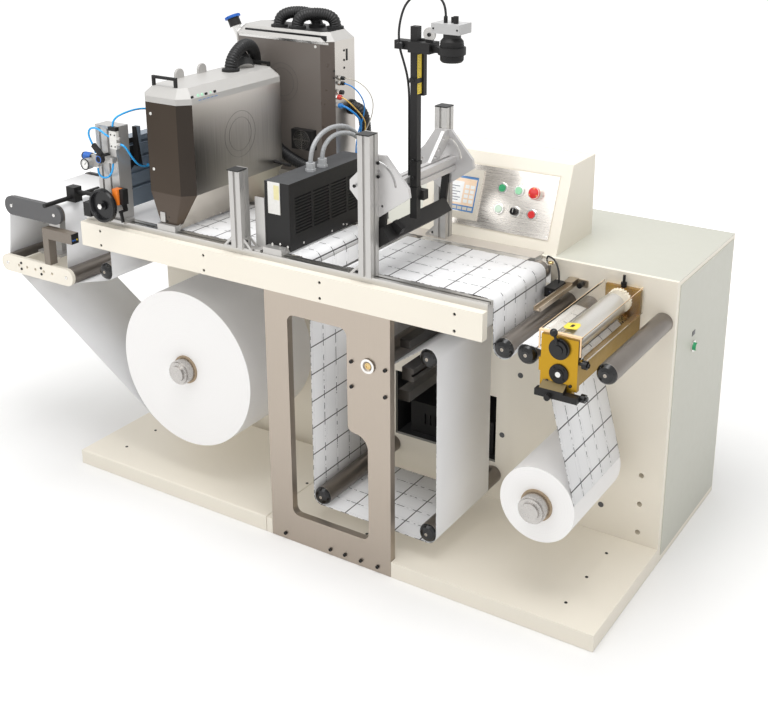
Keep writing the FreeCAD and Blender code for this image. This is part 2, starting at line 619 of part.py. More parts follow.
# Dryer: louvred box on two feet
louvre_columns, louvre_rows, louvre_pitch, louvre_gap = 4, 12, 9, 4.5
column_pitch = (dryer_y1 - dryer_y0 - 40) / louvre_columns
dryer = box(dryer_x0, dryer_x1, dryer_y0, dryer_y1, dryer_z0, dryer_z1)
for column in range(louvre_columns):
    y = dryer_y0 + 26 + column * column_pitch
    for row in range(louvre_rows):
        z = dryer_z0 + 46 + row * louvre_pitch
        dryer = dryer.cut(box(dryer_x1 - 4, dryer_x1 + 1, y, y + column_pitch - 10, z, z + louvre_gap))
feet = [box(dryer_x0 + 10, dryer_x1 - 10, y0, y1, track_top, engine_foot)
        for y0, y1 in ((dryer_y0 - 28, dryer_y0 + 3.5), (rear_track_y0 + 10, dryer_y1))]
gland_x, gland_height = dryer_x0 + 50, 24
gland_y = (dryer_y0 + 145, dryer_y0 + 200)
glands = [rod_z(gland_x, y, 13, dryer_z1 - 1, dryer_z1 + gland_height) for y in gland_y]
save("dryer_body", fuse(dryer, *feet, *glands))
bracket_x0, bracket_x1, bracket_top = dryer_x0 - 33, dryer_x0 - 0.3, dryer_z0 + 142
bracket = fuse(box(bracket_x0, bracket_x1, dryer_y0 - 3, dryer_y0 + 1, track_top, bracket_top),
               box(bracket_x0, bracket_x1, dryer_y0 + 46, dryer_y0 + 50, bed_top + 6, bracket_top),
               box(bracket_x1 - 4, bracket_x1, dryer_y0 - 3, dryer_y0 + 50, bed_top + 6, bracket_top),
               box(bracket_x0 + 12, bracket_x1, dryer_y0 - 28, dryer_y0 + 1, track_top, track_top + 5))
save("dryer_bracket", bracket)


# Gantry: square posts with a slot in each side
def slotted_square(side, slot):
    """Outline of a slotted square bar about the origin."""
    h, w = side / 2, slot / 2
    quarter = [(h, -h), (h, -w), (h - 5, -w), (h - 5, w), (h, w)]
    points = []
    for turn in range(4):
        c, s = cos(turn * pi / 2), sin(turn * pi / 2)
        points += [(x * c - y * s, x * s + y * c) for x, y in quarter]
    return points


def angle_bracket(side):
    """A cast right-angle bracket beside a post's foot: two walls and two open cheeks."""
    h, reach, wall = post_side / 2, 30, 4
    cheek = [(h, 0), (h + reach, 0), (h + reach, wall), (h + wall, reach), (h, reach)]
    hole = [(h + wall, wall), (h + reach - 9, wall), (h + wall, reach - 9)]
    parts = [box(h - 0.5, h + reach, -15, 15, 0, wall), box(h - 0.5, h + wall, -15, 15, 0, reach)]
    for y in (-15, 12):
        parts.append(prism_y(cheek, y, y + 3).cut(prism_y(hole, y - 1, y + 4)))
    shape = fuse(*parts)
    if side < 0:
        shape = shape.mirror(V(0, 0, 0), V(1, 0, 0))
    return shape


def post(x, y, z0, z1, *sides):
    bar = prism_z(slotted_square(post_side, 8), 0, z1 - z0)
    cap = box(-post_side / 2, post_side / 2, -post_side / 2, post_side / 2, z1 - z0, z1 - z0 + 3)
    shape = fuse(bar, cap, *[angle_bracket(side) for side in sides])
    shape.translate(V(x, y, z0))
    return shape


save("gantry_posts", post(post_a_x, post_front_y, track_top, post_a_top, -1, 1),
     post(post_b_x, post_front_y, track_top, post_bc_top, -1),
     post(post_b_x, post_rear_y, track_top, post_bc_top, -1))
post_half = post_side / 2
fan_front_y = post_front_y + post_half + fit
fan_rear_y = post_rear_y - post_half - fan_thickness - fit
crossbar_x = post_b_x + post_side


def arc_slot(x, z, inner, outer, y0, y1):
    """A curved slot about (x, z), from 5 to 80 degrees above +X, as a solid."""
    def at(radius, angle):
        return V(x + radius * cos(radians(angle)), y0, z + radius * sin(radians(angle)))
    edges = [
        Part.Arc(at(outer, 5), at(outer, 42), at(outer, 80)).toShape(),
        Part.LineSegment(at(outer, 80), at(inner, 80)).toShape(),
        Part.Arc(at(inner, 80), at(inner, 42), at(inner, 5)).toShape(),
        Part.LineSegment(at(inner, 5), at(outer, 5)).toShape(),
    ]
    return Part.Face(Part.Wire(edges)).extrude(V(0, y1 - y0, 0))


def fan_plate(y):
    """A clamp plate with an arc slot for setting the lamp bar's angle, and screw holes."""
    outline = [(-70, -12), (-70, 14), (-44, 40), (-10, 90), (40, 92), (108, 16), (112, -8), (10, -80), (-44, -40)]
    plate = prism_y([(post_b_x + dx, crossbar_z + dz) for dx, dz in outline], y, y + fan_thickness)
    slot = arc_slot(post_b_x + 4, crossbar_z + 8, 64, 71, y - 1, y + fan_thickness + 1)
    holes = [rod_y(post_b_x + dx, crossbar_z + dz, 3.5, y - 1, y + fan_thickness + 1)
             for dx, dz in ((-52, 0), (22, 50), (30, -42))]
    return plate.cut([slot] + holes)


crossbar = Part.Face(Part.makePolygon([V(crossbar_x + a, fan_front_y, crossbar_z + b) for a, b in
                                       slotted_square(post_side, 8) + slotted_square(post_side, 8)[:1]]))
crossbar = crossbar.extrude(V(0, fan_rear_y + fan_thickness - fan_front_y, 0))
gusset_x, gusset_z = crossbar_x - 16, crossbar_z + post_half
gusset = prism_x([(fan_rear_y - 96, gusset_z - 1), (fan_rear_y - 52, gusset_z - 1), (fan_rear_y + 1, gusset_z + 36),
                  (fan_rear_y + 1, gusset_z + 72), (fan_rear_y - 22, gusset_z + 72)], gusset_x, gusset_x + 10)
for dy, dz in ((-26, 52), (-50, 26), (-70, 9)):
    gusset = gusset.cut(rod_x(fan_rear_y + dy, gusset_z + dz, 6, gusset_x - 1, gusset_x + 11))
save("gantry_arm", fuse(crossbar, fan_plate(fan_front_y), fan_plate(fan_rear_y), gusset))

lamp_x, lamp_z, lamp_lean = post_b_x + 20, crossbar_z - 130, -35
lamp_y0, lamp_y1 = web_front - 3, web_back + 17
lamp = Part.makeBox(46, lamp_y1 - lamp_y0, 42, V(-23, 0, -21))
lamp_groove = Part.makeBox(10, lamp_y1 - lamp_y0 + 2, 6, V(-12, -1, 16))
lamp = lamp.cut(lamp_groove)
lamp.rotate(V(0, 0, 0), V(0, 1, 0), lamp_lean)
lamp.translate(V(lamp_x, lamp_y0, lamp_z))
hanger = [(lamp_x - 12, lamp_z), (lamp_x + 8, lamp_z), (lamp_x + 18, lamp_z + 98), (lamp_x - 2, lamp_z + 98)]
hangers = [prism_y(hanger, y, y + 10) for y in (fan_front_y + fan_thickness + fit, fan_rear_y - 10 - fit)]
clamp = prism_y([(lamp_x + 6, lamp_z + 22), (lamp_x + 34, lamp_z + 4), (lamp_x + 44, lamp_z + 20),
                 (lamp_x + 16, lamp_z + 38)], fan_front_y + 42, fan_front_y + 62)
save("lamp_bar", fuse(lamp, *hangers, clamp))

mast_x0 = crossbar_x + post_half + fit
mast_x1, mast_y1 = mast_x0 + mast_side, mast_y + mast_side
clamp_top = mast_z1 - 37
clamp_x1 = mast_x1 + 42
scale_x0, scale_x1 = mast_x0 + 13, mast_x0 + 27
mast = fuse(
    box(mast_x0, mast_x1, mast_y, mast_y1, mast_z0, mast_z1),
    box(mast_x0 - 14, mast_x1 + 10, mast_y1 - 1, mast_y1 + 22, crossbar_z - post_half - 26,
        crossbar_z - post_half - fit),
    box(mast_x0, mast_x1 + 2, mast_y - 4, mast_y1, crossbar_z - 30, crossbar_z - 8),
    box(mast_x0 - 44, mast_x0 + 1, mast_y - 6, mast_y1 + 4, clamp_top - 22, clamp_top),
    box(mast_x0 - 1, clamp_x1, mast_y - 12, mast_y1 + 18, clamp_top - 27, clamp_top),
    box(scale_x0, scale_x1, mast_y1 + 1, mast_y1 + 16, clamp_top - 140, clamp_top + 4),
    box(mast_x0 - 1, mast_x1 + 3, mast_y - 4, mast_y1, clamp_top - 105, clamp_top - 93),
    box(mast_x0 - 1, mast_x1 + 3, mast_y - 4, mast_y1, crossbar_z + 52, crossbar_z + 62))
save("camera_mast", mast)
camera_x, camera_y = mast_x1 + 94, mast_y + 10
camera_z = clamp_top + 23
ring = spun_y(0, 0, [(29.2, 0), (35, 0), (35, 18), (29.2, 18)])
ring.rotate(V(0, 0, 0), V(1, 0, 0), 90)
ring.translate(V(camera_x, camera_y, clamp_top - 24))
arm = box(clamp_x1 + fit, camera_x - 30, camera_y - 7, camera_y + 7, clamp_top - 24, clamp_top - 8)
tilt_x = clamp_x1 - 12
tilt_plate = fuse(
    rod_y(tilt_x, clamp_top + 20, 17, camera_y - 3, camera_y + 3),
    prism_y([(tilt_x, clamp_top + 34), (camera_x - 45 - fit, clamp_top + 49), (camera_x - 45 - fit, clamp_top + 36),
             (tilt_x + 8, clamp_top + 8)], camera_y - 3, camera_y + 3),
    box(tilt_x - 10, tilt_x + 10, camera_y - 3, camera_y + 3, clamp_top + fit, clamp_top + 10))
lens_profile = [(0, 0), (25, 0), (29, 4), (29, 26), (26, 30), (29, 34), (29, 52), (22, 60), (22, 72), (0, 72)]
lens = Part.Face(Part.makePolygon([V(r, 0, z) for r, z in lens_profile + lens_profile[:1]]))
lens = lens.revolve(V(0, 0, 0), V(0, 0, 1), 360)
lens.translate(V(camera_x, camera_y, camera_z - 66))
head_top = camera_z + 30
head = box(camera_x - 45, camera_x + 35, camera_y - 26, camera_y + 34, camera_z + 5, head_top)
sockets = [rod_z(camera_x + dx, camera_y + dy, r, head_top - 1, head_top + h)
           for dx, dy, r, h in ((-14, -8, 5, 16), (0, 4, 5, 14), (14, -6, 6.5, 18))]
save("camera", fuse(lens, head, *sockets), fuse(ring, arm), tilt_plate)

# Adjuster station on the rail's left end
upright_y1 = upright_y0 + upright_depth
upright_z0 = track_top + base_plate - 1
upright = box(upright_x0, upright_x1, upright_y0, upright_y1, upright_z0, upright_top)
for x in (upright_x0 + 14, upright_x0 + 46):
    upright = upright.cut(box(x, x + 8, upright_y0 - 1, upright_y0 + 6, upright_z0 + 1, upright_top - 8))
base = box(upright_x0 - 16, upright_x1 + 14, upright_y0 - 10, track_y1 - 4, track_top, track_top + base_plate)
side_plate = box(upright_x0 - 10, upright_x0 + 1, upright_y0 - 6, upright_y1 - 6, track_top + base_plate - 1,
                 wheel_z - 16)
rear_upright = box(upright_x0, upright_x1, rear_track_y0 + 4, rear_track_y1 - 2, track_top, upright_top)
save("adjuster_frame", fuse(upright, base, side_plate), rear_upright)
beam_y0, beam_y1 = upright_y1 + fit, rear_track_y0 + 4 - fit
beam_x = upright_x0 + 34
grooved = box(beam_x, beam_x + 40, beam_y0, beam_y1, wheel_z + 40, wheel_z + 185)
for z in (wheel_z + 75, wheel_z + 118, wheel_z + 161):
    grooved = grooved.cut(box(beam_x + 34, beam_x + 41, beam_y0 - 1, beam_y1 + 1, z, z + 9))
stop_post = box(beam_x + 40, beam_x + 58, beam_y0 + 24, beam_y0 + 40, wheel_z + 100, wheel_z + 218)
beam = fuse(grooved, box(beam_x + 6, beam_x + 44, beam_y0, beam_y1, wheel_z - 23, wheel_z + 30),
            box(beam_x + 10, beam_x + 30, beam_y0, beam_y1, wheel_z + 25, wheel_z + 45),
            box(beam_x + 39, beam_x + 48, beam_y0 + 24, beam_y0 + 40, wheel_z + 100, wheel_z + 116), stop_post)
save("adjuster_beam", beam)
wheel_front = plinth_front - 32
wheel_back = upright_y0 - 0.5
wheel = spun_y(wheel_x, wheel_z, [(0, wheel_front + 4), (14, wheel_front + 4), (14, wheel_front + 10),
                                  (wheel_radius - 12, wheel_front + 10), (wheel_radius - 8, wheel_front),
                                  (wheel_radius - 2, wheel_front), (wheel_radius, wheel_front + 6),
                                  (wheel_radius, wheel_front + 14), (wheel_radius - 8, wheel_front + 18),
                                  (16, wheel_front + 18), (16, wheel_back), (0, wheel_back)])
save("adjuster_handwheel", wheel)
valve_front, valve_back = upright_y0 - 12, upright_y0 - fit
valve_block = fuse(box(upright_x1 - 15, upright_x1 + 11, valve_front, valve_back, upright_top - 62, upright_top - 6),
                   box(upright_x1 - 17, upright_x1 + 13, valve_front - 2, valve_back, upright_top - 8, upright_top + 3),
                   *[rod_x(valve_front + 5, upright_top - dz, 5, upright_x1 + 10, upright_x1 + 24) for dz in (30, 46)],
                   box(upright_x1 - 13, upright_x1 + 8, valve_front, valve_back, upright_top - 84, upright_top - 61))
regulator_z = wheel_z + 125
regulator = fuse(rod_y(upright_x0 + 6, regulator_z, 20, valve_front - 8, valve_back),
                 rod_y(upright_x0 - 11, regulator_z - 9, 17, valve_front - 28, valve_front - 7),
                 rod_x(valve_front, regulator_z + 8, 11, upright_x0 - 42, upright_x0),
                 rod_y(upright_x0 + 44, regulator_z + 13, 12, valve_front - 24, valve_back),
                 prism_y([(upright_x0 + 52, regulator_z + 16), (upright_x0 + 38, regulator_z + 24),
                          (upright_x0 + 14, regulator_z + 46), (upright_x0 + 20, regulator_z + 56),
                          (upright_x0 + 50, regulator_z + 30)], valve_front - 22, valve_front - 10),
                 box(upright_x0 + 5, upright_x0 + 80, valve_front - 7, valve_front + 7, regulator_z + 1, regulator_z + 17))
indicator = fuse(box(upright_x1 - 4, upright_x1 + 31, upright_y0 - 22, valve_back, wheel_z + 6, wheel_z + 52),
                 rod_y(upright_x1 + 22, wheel_z - 14, 4, upright_y0 - 30, valve_back),
                 prism_y([(upright_x1 + 20, wheel_z - 10), (upright_x1 + 14, wheel_z + 8), (upright_x1 + 22, wheel_z + 8),
                          (upright_x1 + 27, wheel_z - 12)], upright_y0 - 14, valve_back),
                 prism_y([(upright_x1 + 20, wheel_z - 12), (upright_x1 + 26, wheel_z - 12), (upright_x1 + 32, wheel_z - 44),
                          (upright_x1 + 26, wheel_z - 46)], upright_y0 - 30, upright_y0 - 22))
save("adjuster_valves", valve_block, regulator, indicator)

# Web guide at the left end
end_radius = guide_roller_radius + 3
left_hole, right_hole = rollers["guide_roller_upper_left"], rollers["guide_roller_upper_right"]
sides = []
for y in (guide_plate_front, guide_plate_back):
    side = slot_y(left_hole[0] - end_radius, right_hole[0] + end_radius, left_hole[1] - end_radius,
                  left_hole[1] + end_radius, end_radius - 0.5, y, y + guide_plate_thickness)
    inner = (y + guide_plate_thickness - 1, y + guide_plate_thickness + stub_length)
    if y == guide_plate_back:
        inner = (y - stub_length, y + 1)
    sides.append(fuse(side, *stubs(("guide_roller_upper_left", "guide_roller_upper_right"), *inner)))
tie_x0, tie_x1 = left_end - 200, left_end - 140
tie_z0 = guide_upper_z - end_radius
tie = box(tie_x0, tie_x1, guide_plate_front + guide_plate_thickness - 1, guide_plate_back + 1, tie_z0, tie_z0 + 8)
save("guide_sides", fuse(*sides, tie))
lower = [rollers["guide_roller_lower_left"], rollers["guide_roller_lower_right"]]
ladder_half = 28
bars = []
for y in (ladder_front, guide_plate_back):
    bar = slot_y(lower[0][0] - ladder_half, lower[1][0] + ladder_half, guide_lower_z - ladder_half,
                 guide_lower_z + ladder_half, ladder_half - 0.5, y, y + ladder_thickness)
    inner = (y + ladder_thickness - 1, y + ladder_thickness + stub_length)
    if y == guide_plate_back:
        inner = (y - stub_length, y + 1)
    bars.append(fuse(bar, *stubs(("guide_roller_lower_left", "guide_roller_lower_right"), *inner)))
for x in [lower[0][0] + 52 + 38 * i for i in range(5)]:
    bars[0] = bars[0].cut(rod_y(x, guide_lower_z, 5, ladder_front - 1, ladder_front + ladder_thickness + 1))
rung_z0, rung_z1 = guide_lower_z - 23, guide_lower_z + 23
rungs = [box(x, x + 12, ladder_front + 1, guide_plate_back + 1, rung_z0, rung_z1)
         for x in (left_end - 239, left_end - 147)]
pivot = fuse(box(left_end - 239, left_end - 135, web_front + 45, web_back - 115, rung_z1 - 1, rung_z1 + 8),
             box(left_end - 210, left_end - 160, web_front + 75, web_back - 145, rung_z1 + 7, tie_z0 - fit))
foot_x = left_end - 12
support = fuse(box(left_end - 239, foot_x + 2, guide_plate_back + 1, guide_plate_back + 13, rung_z0, rung_z1),
               box(foot_x, left_end, guide_plate_back + 1, 0, rung_z0, rung_z1),
               box(left_end - 30, left_end - 1, -1, 10, rung_z0 - 46, rung_z1 + 48))
save("guide_ladder", fuse(*bars, *rungs, pivot, support))
sensor_x0, sensor_x1 = left_end - 120, left_end + 10
sensor_z = guide_lower_z + 116
sensor = fuse(box(sensor_x0, sensor_x1, ladder_front, ladder_front + 29, sensor_z, sensor_z + 33),
              box(sensor_x0, sensor_x0 + 25, ladder_front, ladder_front + 29, guide_lower_z + ladder_half + fit,
                  sensor_z + 1))
save("guide_sensor", sensor)
rod_y0, rod_z0 = upright_y0 + 108, bed_top + 29
stand_x = upright_x0 - 66
rods = fuse(rod_y(left_end - 50, bed_top + 11, 7, plinth_front - 14, web_back - 150),
            box(left_end - 68, left_end - 32, rod_y0 - 30, rod_y0, bed_top - 4, bed_top + 44),
            rod_x(rod_y0 - 14, rod_z0, 6, left_end - 35, stand_x + 29),
            box(stand_x, stand_x + 28, track_y0 - 19, rod_y0, track_top, bed_top + 44))
save("guide_rods", rods)

# Outfeed sensor on its slotted bracket over the outfeed rollers
bracket_z = outfeed_z + 55
channel_x = rollers["outfeed_roller_left"][0] + 10
channel = box(channel_x, channel_x + 20, web_back - 155, -30, bracket_z, bracket_z + 12)
channel = channel.cut(box(channel_x + 3, channel_x + 17, web_back - 156, -31, bracket_z + 3, bracket_z + 13))
wall_plate = slot_y(channel_x - 12, channel_x + 48, bracket_z - 6, bracket_z + 15, 4, -5, -fit)
wall_slot = slot_y(channel_x + 22, channel_x + 42, bracket_z + 1, bracket_z + 8, 3, -6, 1)
sensor_head = box(channel_x - 32, channel_x - fit, web_back - 25, -40, bracket_z - 10, bracket_z + 16)
seat = box(channel_x - 4, channel_x + 20, -46, -4, bracket_z + 1, bracket_z + 18)
set_knob = rod_y(channel_x + 32, bracket_z + 5, 8, -26, -4)
save("outfeed_sensor", fuse(channel, wall_plate.cut(wall_slot), seat, set_knob), sensor_head)

# Die station
die_back_y = -fit
plate_outline = [(die_x0, die_z0), (die_x1 - 12, die_z0), (die_x1 - 12, die_z0 + 22), (die_x1, die_z0 + 22),
                 (die_x1, die_z1), (die_x0, die_z1), (die_x0, die_z0 + 92), (die_x0 - 5, die_z0 + 92),
                 (die_x0 - 5, die_z0 + 58), (die_x0, die_z0 + 58)]
front_plate = prism_y(plate_outline, die_front, die_front + die_plate)
rear_plate = box(die_x0, die_x1, -die_plate, die_back_y, die_z0, die_z1)
beam_right = box(die_x1 - 14, die_x1, die_front, die_back_y, die_z0 + 35, die_z0 + 90)
exit_rod = rod_y(die_exit_x, die_exit_z, die_exit_radius, die_front + 2, -2)
foot_bar = box(die_x0 - 5, die_x1 + 10, die_front - 20, die_front + 1, die_z0, die_z0 + 17)
block = prism_x([(die_front + 1, die_z0 + 16), (die_front - 22, die_z0 + 16), (die_front - 22, die_z0 + 24),
                 (die_front + 1, die_z0 + 38)], die_x0 + 8, die_x1 - 26)


def dial(x, z, steps):
    """A round of (radius, height) steps that stands on the front plate."""
    profile, front = [(0, die_front + 1)], die_front + 1
    for radius, height in steps:
        profile += [(radius, front), (radius, front - height)]
        front -= height
    return spun_y(x, z, profile + [(0, front)])


lever_ball = Part.makeSphere(10, V(die_axis_x - 10, die_front - 18, die_upper_z + 46))
lever = Part.makeCylinder(3.5, 40, V(die_axis_x - 3, die_front - 12, die_upper_z + 14), V(-0.2, -0.16, 0.967))
knobs = [dial(die_axis_x, die_upper_z, [(27, 8), (22, 5), (12, 3)]), dial(die_axis_x, die_lower_z, [(25, 5), (13, 2)]),
         lever, lever_ball, rod_y(die_x0 + 34, die_z0 + 5, 8, die_front - 32, die_front - 10)]
star_z = (die_z0 + 96, die_z0 + 8)
knobs += [rod_x(die_front + 7, z, 4, die_x1 - 14, die_x1 + 12) for z in star_z]
knobs += [rod_x(die_front + 7, z, 11, die_x1 + 10, die_x1 + 22) for z in star_z]
pin = fuse(rod_z(die_axis_x, -10, 8, die_z1 - 1, die_z1 + 14), rod_z(die_axis_x, -10, 4, die_z1 + 13, die_z1 + 34))
save("die_frame", fuse(front_plate, rear_plate, beam_right, exit_rod, foot_bar, block, *knobs, pin))


def gear(z, phase, y0, y1):
    """A spur gear on the die axis; phase is the angle of one tooth in degrees."""
    tip, root = die_cylinder_radius + 0.9, die_cylinder_radius - 2.2
    pitch = 2 * pi / gear_teeth
    points = []
    for i in range(gear_teeth):
        middle = radians(phase) + i * pitch
        for radius, share in ((root, -0.36), (tip, -0.16), (tip, 0.16), (root, 0.36)):
            angle = middle + share * pitch
            points.append((die_axis_x + radius * cos(angle), z + radius * sin(angle)))
    return prism_y(points, y0, y1)


def die_cylinder(name, z, phase):
    """A cylinder with a gear at its back, between the station's plates."""
    front, back = die_front + die_plate + end_gap, -die_plate - end_gap
    gear_y0 = back - 17
    body = spun_y(die_axis_x, z, [
        (0, front), (14, front), (14, web_front + 6), (die_cylinder_radius, web_front + 6),
        (die_cylinder_radius, web_back + 8), (14, web_back + 8), (14, back), (0, back)])
    save(name, fuse(body, gear(z, phase, gear_y0 - gear_width, gear_y0)))


tooth_pitch = 360 / gear_teeth
die_cylinder("die_upper_cylinder", die_upper_z, -90)
die_cylinder("die_lower_cylinder", die_lower_z, 90 + tooth_pitch / 2)
guard_z = die_z1 + 5
guard_sheet = 4
guard = box(die_x0 - 8, die_x1 + 6, die_front + 2, die_back_y, guard_z, guard_z + guard_sheet)
guard = guard.fuse([
    box(die_x1 + 2, die_x1 + 6, die_front + 2, die_back_y, die_z0 + 91, guard_z + 1),
    box(die_x0 - 8, die_x0 - 4, die_front + 2, die_back_y, die_z0 + 115, guard_z + 1)]).removeSplitter()
knob_notch = box(die_x1 + 1, die_x1 + 7, die_front + 1, die_front + 20, die_z0 + 90, die_z0 + 109)
guard = guard.cut([rod_z(die_axis_x, -10, 9, die_z1, guard_z + guard_sheet + 1), knob_notch])
save("die_guard", guard)


# Hoses and cables, each a tube of straight runs joined by tangent arcs through its own list of points
def tube(name, diameter, points):
    """Sweeps a round section along the route; each arc is 0.45 of the shorter run over tan of half the turn."""
    corners = [V(*point) for point in points]
    edges, here, smallest = [], corners[0], 1e9
    for before, corner, after in zip(corners, corners[1:], corners[2:]):
        back, ahead = before - corner, after - corner
        reach = 0.45 * min(back.Length, ahead.Length)
        back.normalize()
        ahead.normalize()
        half_turn = (pi - back.getAngle(ahead)) / 2
        if half_turn < 0.001:
            continue
        radius = reach / tan(half_turn)
        smallest = min(smallest, radius)
        start, end = corner + back * reach, corner + ahead * reach
        bisector = (back + ahead).normalize()
        centre = corner + bisector * (radius / cos(half_turn))
        edges.append(Part.LineSegment(here, start).toShape())
        edges.append(Part.Arc(start, centre - bisector * radius, end).toShape())
        here = end
    edges.append(Part.LineSegment(here, corners[-1]).toShape())
    path = Part.Wire(edges)
    heading = corners[1] - corners[0]
    circle = Part.Wire(Part.makeCircle(diameter / 2, corners[0], heading))
    solid = path.makePipeShell([circle], True, False)
    expected = pi * diameter ** 2 / 4 * path.Length
    print(name, "length", round(path.Length), "smallest radius", round(smallest), "of", diameter,
          "volume ratio", round(solid.Volume / expected, 4))
    return solid


hoses = [
    tube("engine_1_hose_front", 38, [
        (-490, -103, 1285.5), (-490, -102, 1301), (-488, -84, 1327), (-486, -48, 1349), (-491, -10, 1345),
        (-511, 34, 1317), (-531, 64, 1281), (-543, 77, 1238), (-546, 77, 1190), (-543, 76, 1140),
        (-530, 76, 1090), (-505, 75, 1045), (-465, 75, 1008), (-412, 75, 980), (-357, 76, 962),
        (-306, 78, 948), (-264, 82, 928), (-232, 88, 900), (-215, 92, 874), (-214.6, 92, 851)]),
    tube("engine_1_hose_rear", 38, [
        (-498.6, -29.9, 1292.1), (-510, -22, 1308), (-542, -3, 1311), (-578, 24, 1303), (-606, 50, 1280),
        (-622, 70, 1238), (-626, 77, 1190), (-624, 77, 1130), (-616, 76, 1070), (-604, 76, 1010),
        (-594, 76, 955), (-588, 77, 905), (-587, 77, 875), (-587, 77, 851)]),
    tube("engine_2_hose_left", 38, [
        (-500, 152, 1386.4), (-499.2, 152.5, 1397), (-491.5, 157.4, 1412), (-474.6, 168, 1421),
        (-450, 183.5, 1424), (-425.4, 199, 1421), (-408.5, 209.6, 1412), (-400.8, 214.5, 1397), (-400, 215, 1386.4)]),
    tube("engine_2_hose_right", 38, [
        (-430, 152, 1386.4), (-429.2, 152.5, 1397), (-421.5, 157.4, 1412), (-404.6, 168, 1421),
        (-380, 183.5, 1424), (-355.4, 199, 1421), (-338.5, 209.6, 1412), (-330.8, 214.5, 1397), (-330, 215, 1386.4)]),
    tube("engine_2_side_hose", 38, [
        (-268.7, 218, 1135), (-250, 218, 1135), (-233, 221, 1117), (-229, 225, 1085), (-231, 230, 1050),
        (-228, 235, 1015), (-220, 238, 980), (-212, 238, 940), (-207, 238, 900), (-206, 238, 872),
        (-206, 238, 850.6)]),
    tube("dryer_hose_left", 13, [
        (-95, -245, 1084.4), (-95, -244, 1102), (-95, -230, 1132), (-95, -197, 1155), (-95, -150, 1165),
        (-95, -98, 1161), (-95, -55, 1146), (-94, -22, 1124), (-90, 4, 1094), (-84, 22, 1052), (-76, 36, 1000),
        (-66, 45, 945), (-58, 49, 895), (-55, 50, 868), (-55, 50, 850.4)]),
    tube("dryer_hose_right", 13, [
        (-95, -190, 1084.4), (-95, -189, 1100), (-94, -176, 1122), (-92, -150, 1138), (-89, -112, 1143),
        (-85, -72, 1135), (-80, -38, 1118), (-73, -8, 1091), (-65, 13, 1054), (-55, 30, 1004), (-46, 43, 948),
        (-40, 50, 896), (-37, 53, 868), (-37, 53, 850.4)]),
]
cables = [
    tube("camera_cable", 6, [
        (365.6, -298, 1532.4), (365.6, -298, 1546), (357, -297, 1568), (340, -296, 1579), (317, -295, 1584),
        (292, -294, 1582), (266, -293, 1571), (246, -293, 1551), (237, -297, 1525), (236, -307, 1494),
        (238, -311, 1466), (242, -311, 1440), (249, -304, 1408), (254, -295, 1372), (256, -290, 1330),
        (256, -290, 1270), (256, -290, 1190), (256, -290, 1111.4)]),
    tube("sensor_cable", 5, [
        (590, -62, 806.4), (590, -61, 822), (585, -55, 839), (575, -46, 852), (562, -36, 860), (546, -27, 862),
        (534, -22, 861), (533.6, -21.6, 851)]),
    tube("plug_cable_white", 3, [
        (-258.6, 158, 1237), (-246, 158, 1238), (-226, 162, 1236), (-200, 170, 1222), (-180, 178, 1200),
        (-171, 185, 1172), (-175, 190, 1140), (-188, 193, 1105), (-202, 190, 1075), (-214, 185, 1045),
        (-222, 180, 1000), (-224, 178, 950), (-224, 178, 900), (-224, 178, 866), (-224, 178, 850.4)]),
    tube("plug_cable_blue", 4, [
        (-258.6, 157, 1221), (-247, 157, 1220), (-228, 160, 1213), (-210, 168, 1194), (-200, 177, 1168),
        (-201, 183, 1140), (-210, 184, 1108), (-222, 182, 1080), (-230, 180, 1045), (-234, 178, 1000),
        (-234, 178, 950), (-234, 178, 900), (-234, 178, 866), (-234, 178, 850.4)]),
    tube("plug_cable_yellow", 4, [
        (-258.6, 140, 1180), (-248, 140, 1179), (-233, 145, 1167), (-219, 158, 1147), (-208, 176, 1124),
        (-205, 192, 1100), (-212, 202, 1074), (-220, 204, 1045), (-224, 202, 1000), (-224, 200, 950),
        (-224, 200, 900), (-224, 200, 866), (-224, 200, 850.4)]),
    tube("plug_cable_thick", 7, [
        (-258.6, 144, 1153), (-247, 144, 1152), (-231, 149, 1142), (-219, 163, 1126), (-214, 180, 1104),
        (-220, 190, 1078), (-230, 192, 1045), (-236, 191, 1000), (-237, 190, 950), (-237, 190, 900),
        (-237, 190, 866), (-237, 190, 850.4)]),
    tube("air_tube_left", 6, [
        (-728, -441, 1065.4), (-729, -442, 1080), (-740, -445, 1102), (-747, -446, 1121), (-741, -446, 1137),
        (-724, -446, 1144), (-704, -445, 1141), (-688, -443, 1132), (-677, -439, 1123), (-667.4, -437.6, 1121.6)]),
    tube("air_tube_low", 6, [
        (-723, -441, 1024.8), (-722, -443, 1012), (-712, -446, 1001), (-696, -447, 997), (-678, -447, 1001),
        (-666, -446, 1013), (-660, -443, 1029), (-659, -442, 1045.4)]),
    tube("air_tube_right", 6, [
        (-626.6, -437, 1104), (-618, -436.5, 1103), (-612, -430, 1091), (-612, -417, 1070), (-616, -398, 1048),
        (-624, -374, 1029), (-630, -350, 1019), (-636, -328, 1014), (-645, -307, 1011), (-659, -303, 1010)]),
    tube("air_tube_arc", 6, [
        (-655, -437, 1153.4), (-655, -436, 1165), (-649, -429, 1179), (-641, -413, 1187), (-640, -388, 1190),
        (-646, -357, 1189), (-655, -324, 1185), (-663, -290, 1178), (-671, -240, 1166), (-678, -186, 1149),
        (-682, -138, 1128), (-683, -115, 1117), (-683, -114.6, 1105.8)]),
]
save("hoses_and_cables", *hoses, *cables)
